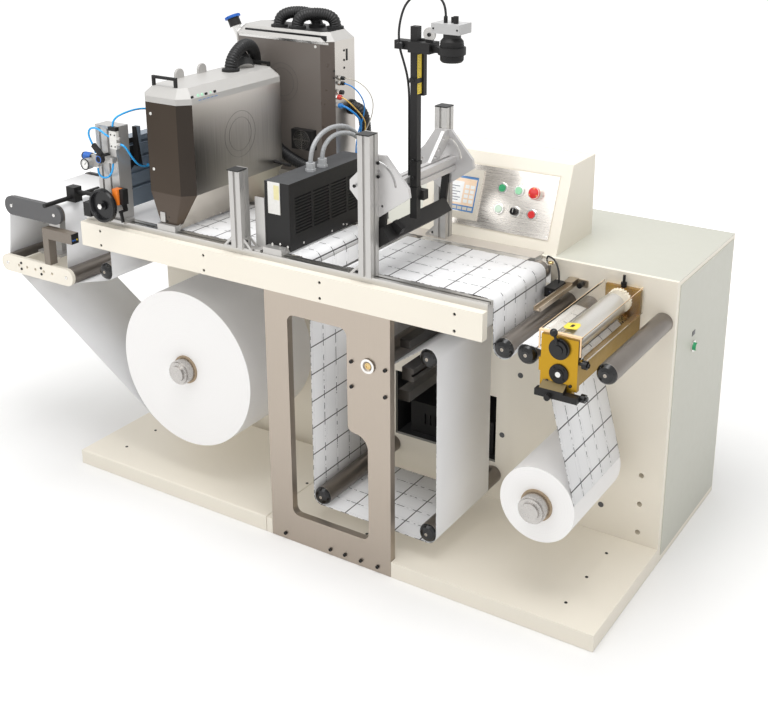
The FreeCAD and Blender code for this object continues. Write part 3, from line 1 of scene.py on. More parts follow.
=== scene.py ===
import bpy
import bmesh
import math
import numpy as np
from mathutils import Matrix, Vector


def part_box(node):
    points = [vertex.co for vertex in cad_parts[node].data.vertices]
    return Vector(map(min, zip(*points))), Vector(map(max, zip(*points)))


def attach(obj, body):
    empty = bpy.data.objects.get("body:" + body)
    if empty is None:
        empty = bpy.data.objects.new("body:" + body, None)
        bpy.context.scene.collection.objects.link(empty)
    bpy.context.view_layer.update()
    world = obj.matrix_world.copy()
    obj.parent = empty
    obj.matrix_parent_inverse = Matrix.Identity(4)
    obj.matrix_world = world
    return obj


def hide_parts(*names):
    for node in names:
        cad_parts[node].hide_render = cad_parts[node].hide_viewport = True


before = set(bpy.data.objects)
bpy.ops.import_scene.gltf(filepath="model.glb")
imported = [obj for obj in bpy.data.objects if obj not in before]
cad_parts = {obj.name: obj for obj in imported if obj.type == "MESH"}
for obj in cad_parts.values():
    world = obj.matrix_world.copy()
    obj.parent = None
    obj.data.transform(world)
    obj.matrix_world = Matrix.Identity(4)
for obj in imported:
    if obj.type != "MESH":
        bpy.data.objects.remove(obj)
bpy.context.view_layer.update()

# Viewpoint
# The press is seen from its rewind end and from above, through a 56 mm lens on a 36 mm sensor. A small
# shift puts it where it stands in the frame.
view_place = (1.834, -2.829, 1.953)
view_azimuth, view_elevation, view_roll = (math.radians(d) for d in (31.63, 18.21, 0.21))
ahead = np.array([-math.sin(view_azimuth) * math.cos(view_elevation),
                  math.cos(view_azimuth) * math.cos(view_elevation), -math.sin(view_elevation)])
level_right = np.cross(ahead, (0, 0, 1))
level_right /= np.linalg.norm(level_right)
level_up = np.cross(level_right, ahead)
right = level_right * math.cos(view_roll) + level_up * math.sin(view_roll)
up = level_up * math.cos(view_roll) - level_right * math.sin(view_roll)
camera = bpy.data.objects.new("camera", bpy.data.cameras.new("camera"))
camera.data.sensor_width = 36
camera.data.lens = 55.87
camera.data.shift_x, camera.data.shift_y = -0.04, -0.17
pose = np.eye(4)
pose[:3, 0], pose[:3, 1], pose[:3, 2], pose[:3, 3] = right, up, -ahead, view_place
camera.matrix_world = Matrix(pose.tolist())
bpy.context.scene.collection.objects.link(camera)
bpy.context.scene.camera = camera
bpy.context.scene.view_settings.view_transform = "Standard"


# Studio
# A white surround over a pale floor. A broad lamp hangs overhead, weak ones stand at the left and the
# right, and a fill lamp without shadows lifts the corners behind the portal.
def lamp(name, place, target, size, power, shadows=True):
    """A square lamp of the given size at place, turned to target; a fill lamp casts no shadows."""
    light = bpy.data.lights.new(name, "AREA")
    light.size = size
    light.energy = power
    light.use_shadow = shadows
    holder = bpy.data.objects.new(name, light)
    bpy.context.scene.collection.objects.link(holder)
    away = np.array(place, float) - np.array(target, float)
    away /= np.linalg.norm(away)
    side = np.cross((0, 0, 1), away)
    side /= np.linalg.norm(side)
    turn = np.eye(4)
    turn[:3, 0], turn[:3, 1], turn[:3, 2], turn[:3, 3] = side, np.cross(away, side), away, place
    holder.matrix_world = Matrix(turn.tolist())


def sums(tree, operation, first, second=0.0):
    """One Math node on two sockets or numbers."""
    node = tree.nodes.new("ShaderNodeMath")
    node.operation = operation
    for socket, value in zip(node.inputs, (first, second)):
        if isinstance(value, (int, float)):
            socket.default_value = value
        else:
            tree.links.new(value, socket)
    return node.outputs[0]


lamp("key_lamp", (-2.2, -3.4, 3.6), (0, 0, 0.6), 2.4, 16)
lamp("top_lamp", (0.5, -0.5, 4.2), (0, 0, 0.6), 2.6, 104)
lamp("right_lamp", (4.2, -0.6, 2.0), (0.3, 0, 0.5), 2.2, 5)
lamp("fill_lamp", (-1.0, -2.6, 3.4), (0, 0, 0.6), 3.0, 38, False)
world = bpy.data.worlds.new("surround")
bpy.context.scene.world = world
world.use_nodes = True
air = world.node_tree
rays = air.nodes.new("ShaderNodeLightPath").outputs
shown = sums(air, "MAXIMUM", sums(air, "MAXIMUM", rays["Is Camera Ray"], rays["Is Glossy Ray"]),
             rays["Is Transmission Ray"])
soft_light = air.nodes["Background"]
soft_light.inputs[0].default_value = (1, 0.99, 0.97, 1)
soft_light.inputs[1].default_value = 0.52
backdrop = air.nodes.new("ShaderNodeBackground")
backdrop.inputs[0].default_value = (1, 1, 1, 1)
backdrop.inputs[1].default_value = 1.0
either = air.nodes.new("ShaderNodeMixShader")
air.links.new(shown, either.inputs[0])
air.links.new(soft_light.outputs[0], either.inputs[1])
air.links.new(backdrop.outputs[0], either.inputs[2])
air.links.new(either.outputs[0], air.nodes["World Output"].inputs[0])


# Hoses and cables
# Black ribbed rubber hoses carry the engines' air and plain grey ones the dryer's. Cables and blue air
# tubes are pushed into plugs and fittings, and the lower ends go into the cabinet's top.
half_plate = np.array([0, 6.0, 0])
shortest_cord = 6


def in_frame(points):
    """Points in mm from the plate's front face, as metres from the middle of its thickness."""
    return (np.asarray(points, float) - half_plate) / 1000


def finish(name, colour, roughness, metallic=0.0):
    """A material with one Principled shader, returned with its node tree and that shader."""
    material = bpy.data.materials.new(name)
    material.use_nodes = True
    shader = material.node_tree.nodes["Principled BSDF"]
    shader.inputs["Base Color"].default_value = (*colour, 1)
    shader.inputs["Roughness"].default_value = roughness
    shader.inputs["Metallic"].default_value = metallic
    return material, material.node_tree, shader


def place_of(tree):
    """The X, Y and Z of the point on the piece, in metres of the frame."""
    split = tree.nodes.new("ShaderNodeSeparateXYZ")
    tree.links.new(tree.nodes.new("ShaderNodeTexCoord").outputs["Object"], split.inputs[0])
    return split.outputs


def within(tree, value, low, high):
    """1 where low < value < high, else 0."""
    past_low = sums(tree, "GREATER_THAN", value, low)
    return sums(tree, "MULTIPLY", past_low, sums(tree, "LESS_THAN", value, high))


def grain(tree, scale, stretch=(1, 1, 1), detail=2.0):
    """Noise on the frame's coordinates, each axis multiplied by its stretch."""
    mapping = tree.nodes.new("ShaderNodeMapping")
    mapping.inputs["Scale"].default_value = stretch
    tree.links.new(tree.nodes.new("ShaderNodeTexCoord").outputs["Object"], mapping.inputs[0])
    noise = tree.nodes.new("ShaderNodeTexNoise")
    noise.inputs["Scale"].default_value = scale
    noise.inputs["Detail"].default_value = detail
    tree.links.new(mapping.outputs[0], noise.inputs["Vector"])
    return noise.outputs[0]


def mixed(tree, share, first, second):
    """The colour first where share is 0 and second where it is 1."""
    node = tree.nodes.new("ShaderNodeMix")
    node.data_type = "RGBA"
    tree.links.new(share, node.inputs[0])
    for socket, value in ((node.inputs[6], first), (node.inputs[7], second)):
        if isinstance(value, tuple):
            socket.default_value = (*value, 1)
        else:
            tree.links.new(value, socket)
    return node.outputs[2]


def shades(colour, dark, light):
    """A colour times dark and times light, no channel above 1."""
    return tuple(c * dark for c in colour), tuple(min(1, c * light) for c in colour)


def spread(tree, share, low, high):
    """A number that runs from low to high as share runs from 0 to 1."""
    return sums(tree, "ADD", sums(tree, "MULTIPLY", share, high - low), low)


def coat(tree, shader, tint=None, gloss=None):
    """Links a colour to the shader's base colour and a number to its roughness, where they are given."""
    for value, socket in ((tint, "Base Color"), (gloss, "Roughness")):
        if value is not None:
            tree.links.new(value, shader.inputs[socket])


def relief(tree, shader, height, depth):
    """Bump of the given depth in metres from a height socket."""
    bump = tree.nodes.new("ShaderNodeBump")
    bump.inputs["Distance"].default_value = depth
    tree.links.new(height, bump.inputs["Height"])
    tree.links.new(bump.outputs[0], shader.inputs["Normal"])


def moulded(name, colour, roughness, unevenness=0.08, scale=160.0):
    """Plastic, rubber or paint: the colour varies by a few percent and the gloss by as much again."""
    material, tree, shader = finish(name, colour, roughness)
    shader.inputs["Specular IOR Level"].default_value = 0.3 if max(colour) < 0.05 else 0.5
    share = grain(tree, scale)
    tint = mixed(tree, share, *shades(colour, 1 - unevenness, 1 + unevenness))
    coat(tree, shader, tint, spread(tree, share, max(0.03, roughness - 0.07), roughness + 0.07))
    return material


def put(name, points, faces, material, body="press", crease=30, bevel=0.0):
    """A mesh object from points and faces, its doubles merged, creased above an angle, riding on a body."""
    mesh = bpy.data.meshes.new(name)
    mesh.from_pydata(np.asarray(points, float).tolist(), [], [list(map(int, f)) for f in faces])
    work = bmesh.new()
    work.from_mesh(mesh)
    bmesh.ops.remove_doubles(work, verts=work.verts, dist=1e-6)
    bmesh.ops.dissolve_degenerate(work, edges=work.edges, dist=1e-7)
    bmesh.ops.recalc_face_normals(work, faces=work.faces)
    if bevel:
        sharp = [e for e in work.edges if e.is_manifold and e.calc_face_angle() > 0.6]
        bmesh.ops.bevel(work, geom=sharp, offset=bevel, segments=2, profile=0.6, affect="EDGES")
    work.to_mesh(mesh)
    work.free()
    mesh.polygons.foreach_set("use_smooth", np.ones(len(mesh.polygons), bool))
    mesh.set_sharp_from_angle(angle=math.radians(crease))
    mesh.materials.append(material)
    piece = bpy.data.objects.new(name, mesh)
    bpy.context.scene.collection.objects.link(piece)
    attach(piece, body)
    return piece


def route_curve(name, points, diameter=0.0):
    """A smooth NURBS curve with the route's points, in millimetres of the press, as its control points."""
    curve = bpy.data.curves.new(name, "CURVE")
    curve.dimensions = "3D"
    spline = curve.splines.new("NURBS")
    spline.points.add(len(points) - 1)
    for point, place in zip(spline.points, in_frame(points).tolist()):
        point.co = (*place, 1)
    spline.order_u = 3
    spline.use_endpoint_u = True
    curve.resolution_u = 12
    curve.bevel_depth = diameter / 2
    curve.bevel_resolution = 4
    curve.use_fill_caps = diameter > 0
    return bpy.data.objects.new(name, curve)


def declare(piece, length, diameter):
    """Puts the piece on the press's body and hides the CAD node of the hoses and cables."""
    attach(piece, "press")
    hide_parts("hoses_and_cables")
    if length < shortest_cord * diameter:
        return


def cable(name, length, diameter, material, points):
    """A round cable along its route."""
    piece = route_curve(name, points, diameter)
    piece.data.materials.append(material)
    bpy.context.scene.collection.objects.link(piece)
    declare(piece, length, diameter)


def ring_faces(rings, sides):
    """Quads that join each ring of points to the next one, closed round its sides."""
    row, col = np.meshgrid(np.arange(rings - 1), np.arange(sides), indexing="ij")
    corners = [row * sides + col, row * sides + (col + 1) % sides,
               (row + 1) * sides + (col + 1) % sides, (row + 1) * sides + col]
    return np.stack(corners, -1).reshape(-1, 4)


def ribbed_hose(name, length, diameter, material, points, pitch=0.0074, depth=0.0016, sides=20):
    """A hose whose radius waves along its line with the given pitch, swept over the route's smooth curve."""
    guide = route_curve(name + "_line", points)
    drawn = bpy.data.meshes.new_from_object(guide)
    line = np.array([v.co[:] for v in drawn.vertices])
    travel = np.concatenate([[0], np.cumsum(np.linalg.norm(np.diff(line, axis=0), axis=1))])
    stops = np.linspace(0, travel[-1], int(travel[-1] / pitch * 6))
    centre = np.stack([np.interp(stops, travel, line[:, i]) for i in range(3)], 1)
    along = np.gradient(centre, axis=0)
    along /= np.linalg.norm(along, axis=1)[:, None]
    side = np.cross(along[0], (0.3, 0.9, 0.1))
    sideways = []
    for direction in along:
        side = side - direction * (side @ direction)
        side = side / np.linalg.norm(side)
        sideways.append(side)
    sideways = np.array(sideways)
    lifted = np.cross(along, sideways)
    angle = np.arange(sides) * 2 * math.pi / sides
    radius = diameter / 2 - depth * (0.5 - 0.5 * np.cos(2 * math.pi * stops / pitch)) ** 2
    ring = np.cos(angle)[None, :, None] * sideways[:, None] + np.sin(angle)[None, :, None] * lifted[:, None]
    rings = centre[:, None] + radius[:, None, None] * ring
    faces = ring_faces(len(stops), sides).tolist()
    faces += [list(range(sides)), list(range(len(stops) * sides - sides, len(stops) * sides))]
    piece = put(name, rings.reshape(-1, 3), faces, material, crease=50)
    declare(piece, length, diameter)


hose_rubber = moulded("ribbed_hose_black", (0.014, 0.014, 0.0145), 0.38)
hose_pvc = moulded("hose_grey_pvc", (0.34, 0.35, 0.36), 0.28)
cable_black = moulded("cable_black", (0.016, 0.016, 0.017), 0.4)
cable_white = moulded("cable_white", (0.46, 0.43, 0.37), 0.45)
cable_blue = moulded("cable_blue", (0.01, 0.22, 0.62), 0.35)
cable_yellow = moulded("cable_yellow", (0.66, 0.42, 0.10), 0.4)
tube_blue = moulded("air_tube_blue", (0.02, 0.36, 0.80), 0.25)
ribbed_hose("engine_1_hose_front", 0.845, 0.038, hose_rubber, [
    (-490, -103, 1285.5), (-490, -102, 1301), (-488, -84, 1327), (-486, -48, 1349), (-491, -10, 1345),
    (-511, 34, 1317), (-531, 64, 1281), (-543, 77, 1238), (-546, 77, 1190), (-543, 76, 1140),
    (-530, 76, 1090), (-505, 75, 1045), (-465, 75, 1008), (-412, 75, 980), (-357, 76, 962), (-306, 78, 948),
    (-264, 82, 928), (-232, 88, 900), (-215, 92, 874), (-214.6, 92, 851)])
ribbed_hose("engine_1_hose_rear", 0.585, 0.038, hose_rubber, [
    (-498.6, -29.9, 1292.1), (-510, -22, 1308), (-542, -3, 1311), (-578, 24, 1303), (-606, 50, 1280),
    (-622, 70, 1238), (-626, 77, 1190), (-624, 77, 1130), (-616, 76, 1070), (-604, 76, 1010),
    (-594, 76, 955), (-588, 77, 905), (-587, 77, 875), (-587, 77, 851)])
ribbed_hose("engine_2_hose_left", 0.157, 0.038, hose_rubber, [
    (-500, 152, 1386.4), (-499.2, 152.5, 1397), (-491.5, 157.4, 1412), (-474.6, 168, 1421),
    (-450, 183.5, 1424), (-425.4, 199, 1421), (-408.5, 209.6, 1412), (-400.8, 214.5, 1397),
    (-400, 215, 1386.4)])
ribbed_hose("engine_2_hose_right", 0.157, 0.038, hose_rubber, [
    (-430, 152, 1386.4), (-429.2, 152.5, 1397), (-421.5, 157.4, 1412), (-404.6, 168, 1421),
    (-380, 183.5, 1424), (-355.4, 199, 1421), (-338.5, 209.6, 1412), (-330.8, 214.5, 1397),
    (-330, 215, 1386.4)])
ribbed_hose("engine_2_side_hose", 0.312, 0.038, hose_rubber, [
    (-268.7, 218, 1135), (-250, 218, 1135), (-233, 221, 1117), (-229, 225, 1085), (-231, 230, 1050),
    (-228, 235, 1015), (-220, 238, 980), (-212, 238, 940), (-207, 238, 900), (-206, 238, 872),
    (-206, 238, 850.6)])
cable("dryer_hose_left", 0.566, 0.013, hose_pvc, [
    (-95, -245, 1084.4), (-95, -244, 1102), (-95, -230, 1132), (-95, -197, 1155), (-95, -150, 1165),
    (-95, -98, 1161), (-95, -55, 1146), (-94, -22, 1124), (-90, 4, 1094), (-84, 22, 1052), (-76, 36, 1000),
    (-66, 45, 945), (-58, 49, 895), (-55, 50, 868), (-55, 50, 850.4)])
cable("dryer_hose_right", 0.482, 0.013, hose_pvc, [
    (-95, -190, 1084.4), (-95, -189, 1100), (-94, -176, 1122), (-92, -150, 1138), (-89, -112, 1143),
    (-85, -72, 1135), (-80, -38, 1118), (-73, -8, 1091), (-65, 13, 1054), (-55, 30, 1004), (-46, 43, 948),
    (-40, 50, 896), (-37, 53, 868), (-37, 53, 850.4)])
cable("camera_cable", 0.607, 0.006, cable_black, [
    (365.6, -298, 1532.4), (365.6, -298, 1546), (357, -297, 1568), (340, -296, 1579), (317, -295, 1584),
    (292, -294, 1582), (266, -293, 1571), (246, -293, 1551), (237, -297, 1525), (236, -307, 1494),
    (238, -311, 1466), (242, -311, 1440), (249, -304, 1408), (254, -295, 1372), (256, -290, 1330),
    (256, -290, 1270), (256, -290, 1190), (256, -290, 1111.4)])
cable("sensor_cable", 0.110, 0.005, cable_black, [
    (590, -62, 806.4), (590, -61, 822), (585, -55, 839), (575, -46, 852), (562, -36, 860), (546, -27, 862),
    (534, -22, 861), (533.6, -21.6, 851)])
cable("plug_cable_white", 0.455, 0.003, cable_white, [
    (-258.6, 158, 1237), (-246, 158, 1238), (-226, 162, 1236), (-200, 170, 1222), (-180, 178, 1200),
    (-171, 185, 1172), (-175, 190, 1140), (-188, 193, 1105), (-202, 190, 1075), (-214, 185, 1045),
    (-222, 180, 1000), (-224, 178, 950), (-224, 178, 900), (-224, 178, 866), (-224, 178, 850.4)])
cable("plug_cable_blue", 0.411, 0.004, cable_blue, [
    (-258.6, 157, 1221), (-247, 157, 1220), (-228, 160, 1213), (-210, 168, 1194), (-200, 177, 1168),
    (-201, 183, 1140), (-210, 184, 1108), (-222, 182, 1080), (-230, 180, 1045), (-234, 178, 1000),
    (-234, 178, 950), (-234, 178, 900), (-234, 178, 866), (-234, 178, 850.4)])
cable("plug_cable_yellow", 0.371, 0.004, cable_yellow, [
    (-258.6, 140, 1180), (-248, 140, 1179), (-233, 145, 1167), (-219, 158, 1147), (-208, 176, 1124),
    (-205, 192, 1100), (-212, 202, 1074), (-220, 204, 1045), (-224, 202, 1000), (-224, 200, 950),
    (-224, 200, 900), (-224, 200, 866), (-224, 200, 850.4)])
cable("plug_cable_thick", 0.340, 0.007, cable_blue, [
    (-258.6, 144, 1153), (-247, 144, 1152), (-231, 149, 1142), (-219, 163, 1126), (-214, 180, 1104),
    (-220, 190, 1078), (-230, 192, 1045), (-236, 191, 1000), (-237, 190, 950), (-237, 190, 900),
    (-237, 190, 866), (-237, 190, 850.4)])
cable("air_tube_left", 0.156, 0.006, tube_blue, [
    (-728, -441, 1065.4), (-729, -442, 1080), (-740, -445, 1102), (-747, -446, 1121), (-741, -446, 1137),
    (-724, -446, 1144), (-704, -445, 1141), (-688, -443, 1132), (-677, -439, 1123),
    (-667.4, -437.6, 1121.6)])
cable("air_tube_low", 0.112, 0.006, tube_blue, [
    (-723, -441, 1024.8), (-722, -443, 1012), (-712, -446, 1001), (-696, -447, 997), (-678, -447, 1001),
    (-666, -446, 1013), (-660, -443, 1029), (-659, -442, 1045.4)])
cable("air_tube_right", 0.195, 0.006, tube_blue, [
    (-626.6, -437, 1104), (-618, -436.5, 1103), (-612, -430, 1091), (-612, -417, 1070), (-616, -398, 1048),
    (-624, -374, 1029), (-630, -350, 1019), (-636, -328, 1014), (-645, -307, 1011), (-659, -303, 1010)])
cable("air_tube_arc", 0.371, 0.006, tube_blue, [
    (-655, -437, 1153.4), (-655, -436, 1165), (-649, -429, 1179), (-641, -413, 1187), (-640, -388, 1190),
    (-646, -357, 1189), (-655, -324, 1185), (-663, -290, 1178), (-671, -240, 1166), (-678, -186, 1149),
    (-682, -138, 1128), (-683, -115, 1117), (-683, -114.6, 1105.8)])


# Cabinet, plinth, rail and console shell
# Bent and welded sheet steel in a cream powder coat with a fine orange peel. The screwed rear and end covers
# get a darker grey-cream, painted shade for the end, which faces away from the light.
def dress(material, *names):
    """Gives the material to CAD nodes."""
    for name in names:
        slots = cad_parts[name].data.materials
        slots.clear()
        slots.append(material)


def powder_coat(name, colour, roughness=0.42):
    """Colour with slow unevenness of a few percent, and an orange peel of 2 mm waves."""
    material, tree, shader = finish(name, colour, roughness)
    slow = grain(tree, 3.0, detail=3.0)
    gloss = spread(tree, grain(tree, 40.0), roughness - 0.08, roughness + 0.08)
    coat(tree, shader, mixed(tree, slow, *shades(colour, 0.955, 1.03)), gloss)
    relief(tree, shader, grain(tree, 450.0), 0.00012)
    return material


cream = powder_coat("cream_powder_coat", (0.83, 0.78, 0.68))
# A darker copy of the cream for the end and rear covers: painted shade.
end_panel_painted_shade = powder_coat("end_panel_powder_coat_painted_shade", (0.54, 0.54, 0.475))
dress(cream, "main_plate", "cabinet_body", "plinth_left", "plinth_right", "front_rail", "console_housing",
      "guide_ladder")
dress(end_panel_painted_shade, "cabinet_covers")


# Screws
# Black socket-head screws sit in the rail, the portal and the plinth. Each is a turned head with a deep
# round socket.
def turned(outline, spots, axis=(0, 1, 0), sides=24):
    """Solids of revolution: (radius, height) points turned about an axis through each of the spots."""
    outline, spots, axis = (np.asarray(a, float) for a in (outline, spots, axis))
    axis = axis / np.linalg.norm(axis)
    helper = np.array([0, 0, 1.0]) if abs(axis[2]) < 0.9 else np.array([1.0, 0, 0])
    first = np.cross(helper, axis)
    first /= np.linalg.norm(first)
    second = np.cross(axis, first)
    angle = np.arange(sides) * 2 * math.pi / sides
    round_about = np.cos(angle)[:, None] * first + np.sin(angle)[:, None] * second
    one = outline[:, None, :1] * round_about[None] + outline[:, None, 1:] * axis
    points = (spots[:, None, None, :] + one[None]).reshape(-1, 3)
    faces = np.arange(len(spots))[:, None, None] * len(outline) * sides + ring_faces(len(outline), sides)
    return points, faces.reshape(-1, 4)


def screw_outline(radius, height, sink=0.55):
    """A domed head with a round socket, from its seat outwards along minus the axis."""
    return [(0, 0.0004), (radius, 0.0004), (radius, -height * 0.7), (radius * 0.82, -height),
            (radius * 0.5, -height), (radius * 0.5, -height * (1 - sink)), (0, -height * (1 - sink))]


def black_steel():
    """Oiled black screw steel, nearly smooth."""
    material, tree, shader = finish("black_screw_steel", (0.03, 0.03, 0.03), 0.35, 0.7)
    coat(tree, shader, gloss=spread(tree, grain(tree, 300.0), 0.25, 0.5))
    return material


screw_black = black_steel()
rail_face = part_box("front_rail")[0].y
rail_screw_depth = 0.0045
rail_screws = [(x, rail_face + rail_screw_depth, z)
               for x in (-0.732, -0.329, 0.074, 0.486) for z in (0.781, 0.826)]
put("rail_screws", *turned(screw_outline(0.0043, 0.002), rail_screws), screw_black)
plinth_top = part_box("plinth_right")[1].z
plinth_screws = [(x, y, plinth_top) for x, y in
                 ((0.784, -0.097), (0.783, -0.23), (0.783, -0.363), (-0.787, -0.229), (-0.788, -0.362),
                  (-0.15, -0.236), (0.163, -0.371))]
put("plinth_screws", *turned(screw_outline(0.0045, 0.0012), plinth_screws, axis=(0, 0, -1)), screw_black)


# Portal frame and console panel
# Stainless plate and sheet, ground in one direction: long fine streaks on a warm grey with a satin gloss.
def ground_steel(name, colour, stretch, roughness=0.3, streak=0.10, metallic=1.0):
    """Metal with streaks drawn out along the axis whose stretch is small."""
    material, tree, shader = finish(name, colour, roughness, metallic)
    lines = grain(tree, 1.0, stretch, 3.0)
    cloud = grain(tree, 2.2, detail=2.0)
    share = sums(tree, "ADD", sums(tree, "MULTIPLY", lines, 0.6), sums(tree, "MULTIPLY", cloud, 0.4))
    tint = mixed(tree, share, *shades(colour, 1 - streak, 1 + streak))
    coat(tree, shader, tint, spread(tree, lines, roughness - 0.07, roughness + 0.1))
    relief(tree, shader, lines, 0.00004)
    return material


portal_steel = ground_steel("portal_stainless", (0.43, 0.375, 0.32), (900, 900, 14), 0.38)
panel_steel = ground_steel("console_stainless", (0.74, 0.70, 0.65), (12, 900, 900), 0.26, 0.16)
dress(portal_steel, "portal_frame")
dress(panel_steel, "console_panel")


# Rollers
# Dark anodised aluminium tubes with fine turning marks. The ones held at one end only have a domed black
# cap, screwed on at the free end.
cap_back = -0.3840


def roller_skin(name, cap):
    """Grey-brown anodising with rings along Y; glossy black past the cap's seam."""
    material, tree, shader = finish(name, (0.10, 0.088, 0.078), 0.33, 0.75)
    rings = grain(tree, 1.0, (2, 900, 2), 2.0)
    spots = grain(tree, 9.0, detail=4.0)
    skin = mixed(tree, spots, (0.15, 0.132, 0.116), (0.23, 0.205, 0.18))
    rough = spread(tree, rings, 0.24, 0.42)
    if cap:
        y = place_of(tree)[1]
        on_cap = sums(tree, "LESS_THAN", y, cap_back)
        seam = within(tree, y, cap_back, cap_back + 0.0012)
        skin = mixed(tree, seam, skin, (0.34, 0.30, 0.26))
        skin = mixed(tree, on_cap, skin, (0.005, 0.005, 0.005))
        rough = sums(tree, "SUBTRACT", rough, sums(tree, "MULTIPLY", on_cap, 0.13))
        tree.links.new(spread(tree, on_cap, 0.75, 0.0), shader.inputs["Metallic"])
    coat(tree, shader, skin, rough)
    relief(tree, shader, rings, 0.00003)
    return material


capped_rollers = ["infeed_roller", "loop_roller_left", "loop_roller_right", "loop_roller_upper",
                  "outfeed_roller_left", "outfeed_roller_right", "spare_idler_roller"]
plain_rollers = [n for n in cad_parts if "roller" in n and n not in capped_rollers]
dress(roller_skin("capped_roller_skin", True), *capped_rollers)
dress(roller_skin("plain_roller_skin", False), *plain_rollers)
cap_steel = ground_steel("cap_screw_steel", (0.42, 0.38, 0.33), (300, 300, 300), 0.3)
for name in capped_rollers:
    low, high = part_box(name)
    spot = [((low.x + high.x) / 2, low.y, (low.z + high.z) / 2)]
    ring = turned([(0, 0.004), (0.0052, 0.004), (0.0052, 0.0005), (0.0042, -0.0003), (0.0026, -0.0003),
                   (0.0022, 0.0018), (0, 0.0018)], spot)
    put(name + "_screw", *ring, cap_steel, body=name)


# Paper rolls on their chucks
# White label stock wound tight on a tan cardboard core, so the ends show fine rings. Each core sits on a
# turned steel chuck.
def hypotenuse(tree, first, second):
    """The root of first squared plus second squared."""
    squares = [sums(tree, "MULTIPLY", value, value) for value in (first, second)]
    return sums(tree, "SQRT", sums(tree, "ADD", *squares))


def from_axis(tree, x_axis, z_axis):
    """Distance in metres from the line along Y through x_axis and z_axis."""
    place = place_of(tree)
    aside = sums(tree, "SUBTRACT", place[0], x_axis)
    return hypotenuse(tree, aside, sums(tree, "SUBTRACT", place[2], z_axis))


def wound_paper(name, x_axis, z_axis, core):
    """White ends with rings by distance from the roll's axis, tan inside the core's radius."""
    material, tree, shader = finish(name, (0.80, 0.79, 0.79), 0.75)
    radius = from_axis(tree, x_axis, z_axis)
    noise = tree.nodes.new("ShaderNodeTexNoise")
    noise.noise_dimensions = "1D"
    noise.inputs["Scale"].default_value = 700
    noise.inputs["Detail"].default_value = 4
    tree.links.new(radius, noise.inputs["W"])
    stock = mixed(tree, noise.outputs[0], (0.80, 0.785, 0.775), (0.93, 0.925, 0.92))
    tan = sums(tree, "LESS_THAN", radius, core)
    fibre = mixed(tree, grain(tree, 160.0), (0.30, 0.22, 0.14), (0.46, 0.36, 0.25))
    coat(tree, shader, mixed(tree, tan, stock, fibre))
    relief(tree, shader, noise.outputs[0], 0.0001)
    return material


def turned_steel(name, x_axis, z_axis, colour):
    """Bright steel with turning rings round one axis."""
    material, tree, shader = finish(name, colour, 0.25, 1.0)
    turns = sums(tree, "MULTIPLY", from_axis(tree, x_axis, z_axis), 2 * math.pi / ring_pitch)
    tint = mixed(tree, grain(tree, 30.0), *shades(colour, 0.8, 1))
    coat(tree, shader, tint, spread(tree, grain(tree, 90.0), 0.18, 0.34))
    relief(tree, shader, sums(tree, "SINE", turns), 0.00005)
    return material


core_edge, ring_pitch = 0.0443, 0.0011
for side in ("unwind", "rewind"):
    low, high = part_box(side + "_roll")
    dress(wound_paper(side + "_paper", (low.x + high.x) / 2, (low.z + high.z) / 2, core_edge), side + "_roll")
    low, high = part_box(side + "_chuck")
    axis_x, axis_z = (low.x + high.x) / 2, (low.z + high.z) / 2
    dress(turned_steel(side + "_chuck_steel", axis_x, axis_z, (0.56, 0.54, 0.52)), side + "_chuck")


# Label web
# A 300 mm web of white label paper, drawn tight round every roller as straight runs and arcs. It is plain
# up to the first engine, which prints rules across it and broken lanes along it.
web_offset, paper_thickness = 0.0008, 0.0006
web_width = (-0.391, -0.091)
arc_step = math.radians(5)


def station(node, turn):
    """The x, z and signed radius of a roller's wrapped web, from its node's box."""
    low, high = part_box(node)
    return np.array([(low.x + high.x) / 2, (low.z + high.z) / 2, turn * ((high.x - low.x) / 2 + web_offset)])


def web_line(stations):
    """Points along tangent runs and arcs through all stations, and the index where each one is left."""
    s = np.array(stations)
    run = s[1:, :2] - s[:-1, :2]
    length = np.hypot(*run.T)
    normal = np.arctan2(run[:, 1], run[:, 0]) + np.arccos((s[1:, 2] - s[:-1, 2]) / length)
    away = np.stack([np.cos(normal), np.sin(normal)], 1)
    leave, arrive = s[:-1, :2] - s[:-1, 2:] * away, s[1:, :2] - s[1:, 2:] * away
    line, marks = [leave[0]], [0]
    for i in range(1, len(s) - 1):
        start, end = (np.arctan2(*(p - s[i, :2])[::-1]) for p in (arrive[i - 1], leave[i]))
        turn = np.sign(s[i, 2])
        swing = ((end - start) * turn) % (2 * math.pi) * turn
        angle = start + np.linspace(0, swing, 2 + int(abs(swing) / arc_step))
        line.extend(s[i, :2] + abs(s[i, 2]) * np.stack([np.cos(angle), np.sin(angle)], 1))
        marks.append(len(line) - 1)
    line.append(arrive[-1])
    return np.array(line), marks + [len(line) - 1]


def off_line(tree, value, pitch, shift=0.0):
    """Distance in metres from the nearest of a set of evenly spaced lines."""
    moved = sums(tree, "ADD", value, shift + pitch / 2)
    rest = sums(tree, "FLOORED_MODULO", moved, pitch)
    return sums(tree, "ABSOLUTE", sums(tree, "SUBTRACT", rest, pitch / 2))


def near_line(tree, value, pitch, half_width, shift=0.0):
    """1 within half_width of one of a set of evenly spaced lines, else 0."""
    return sums(tree, "LESS_THAN", off_line(tree, value, pitch, shift), half_width)


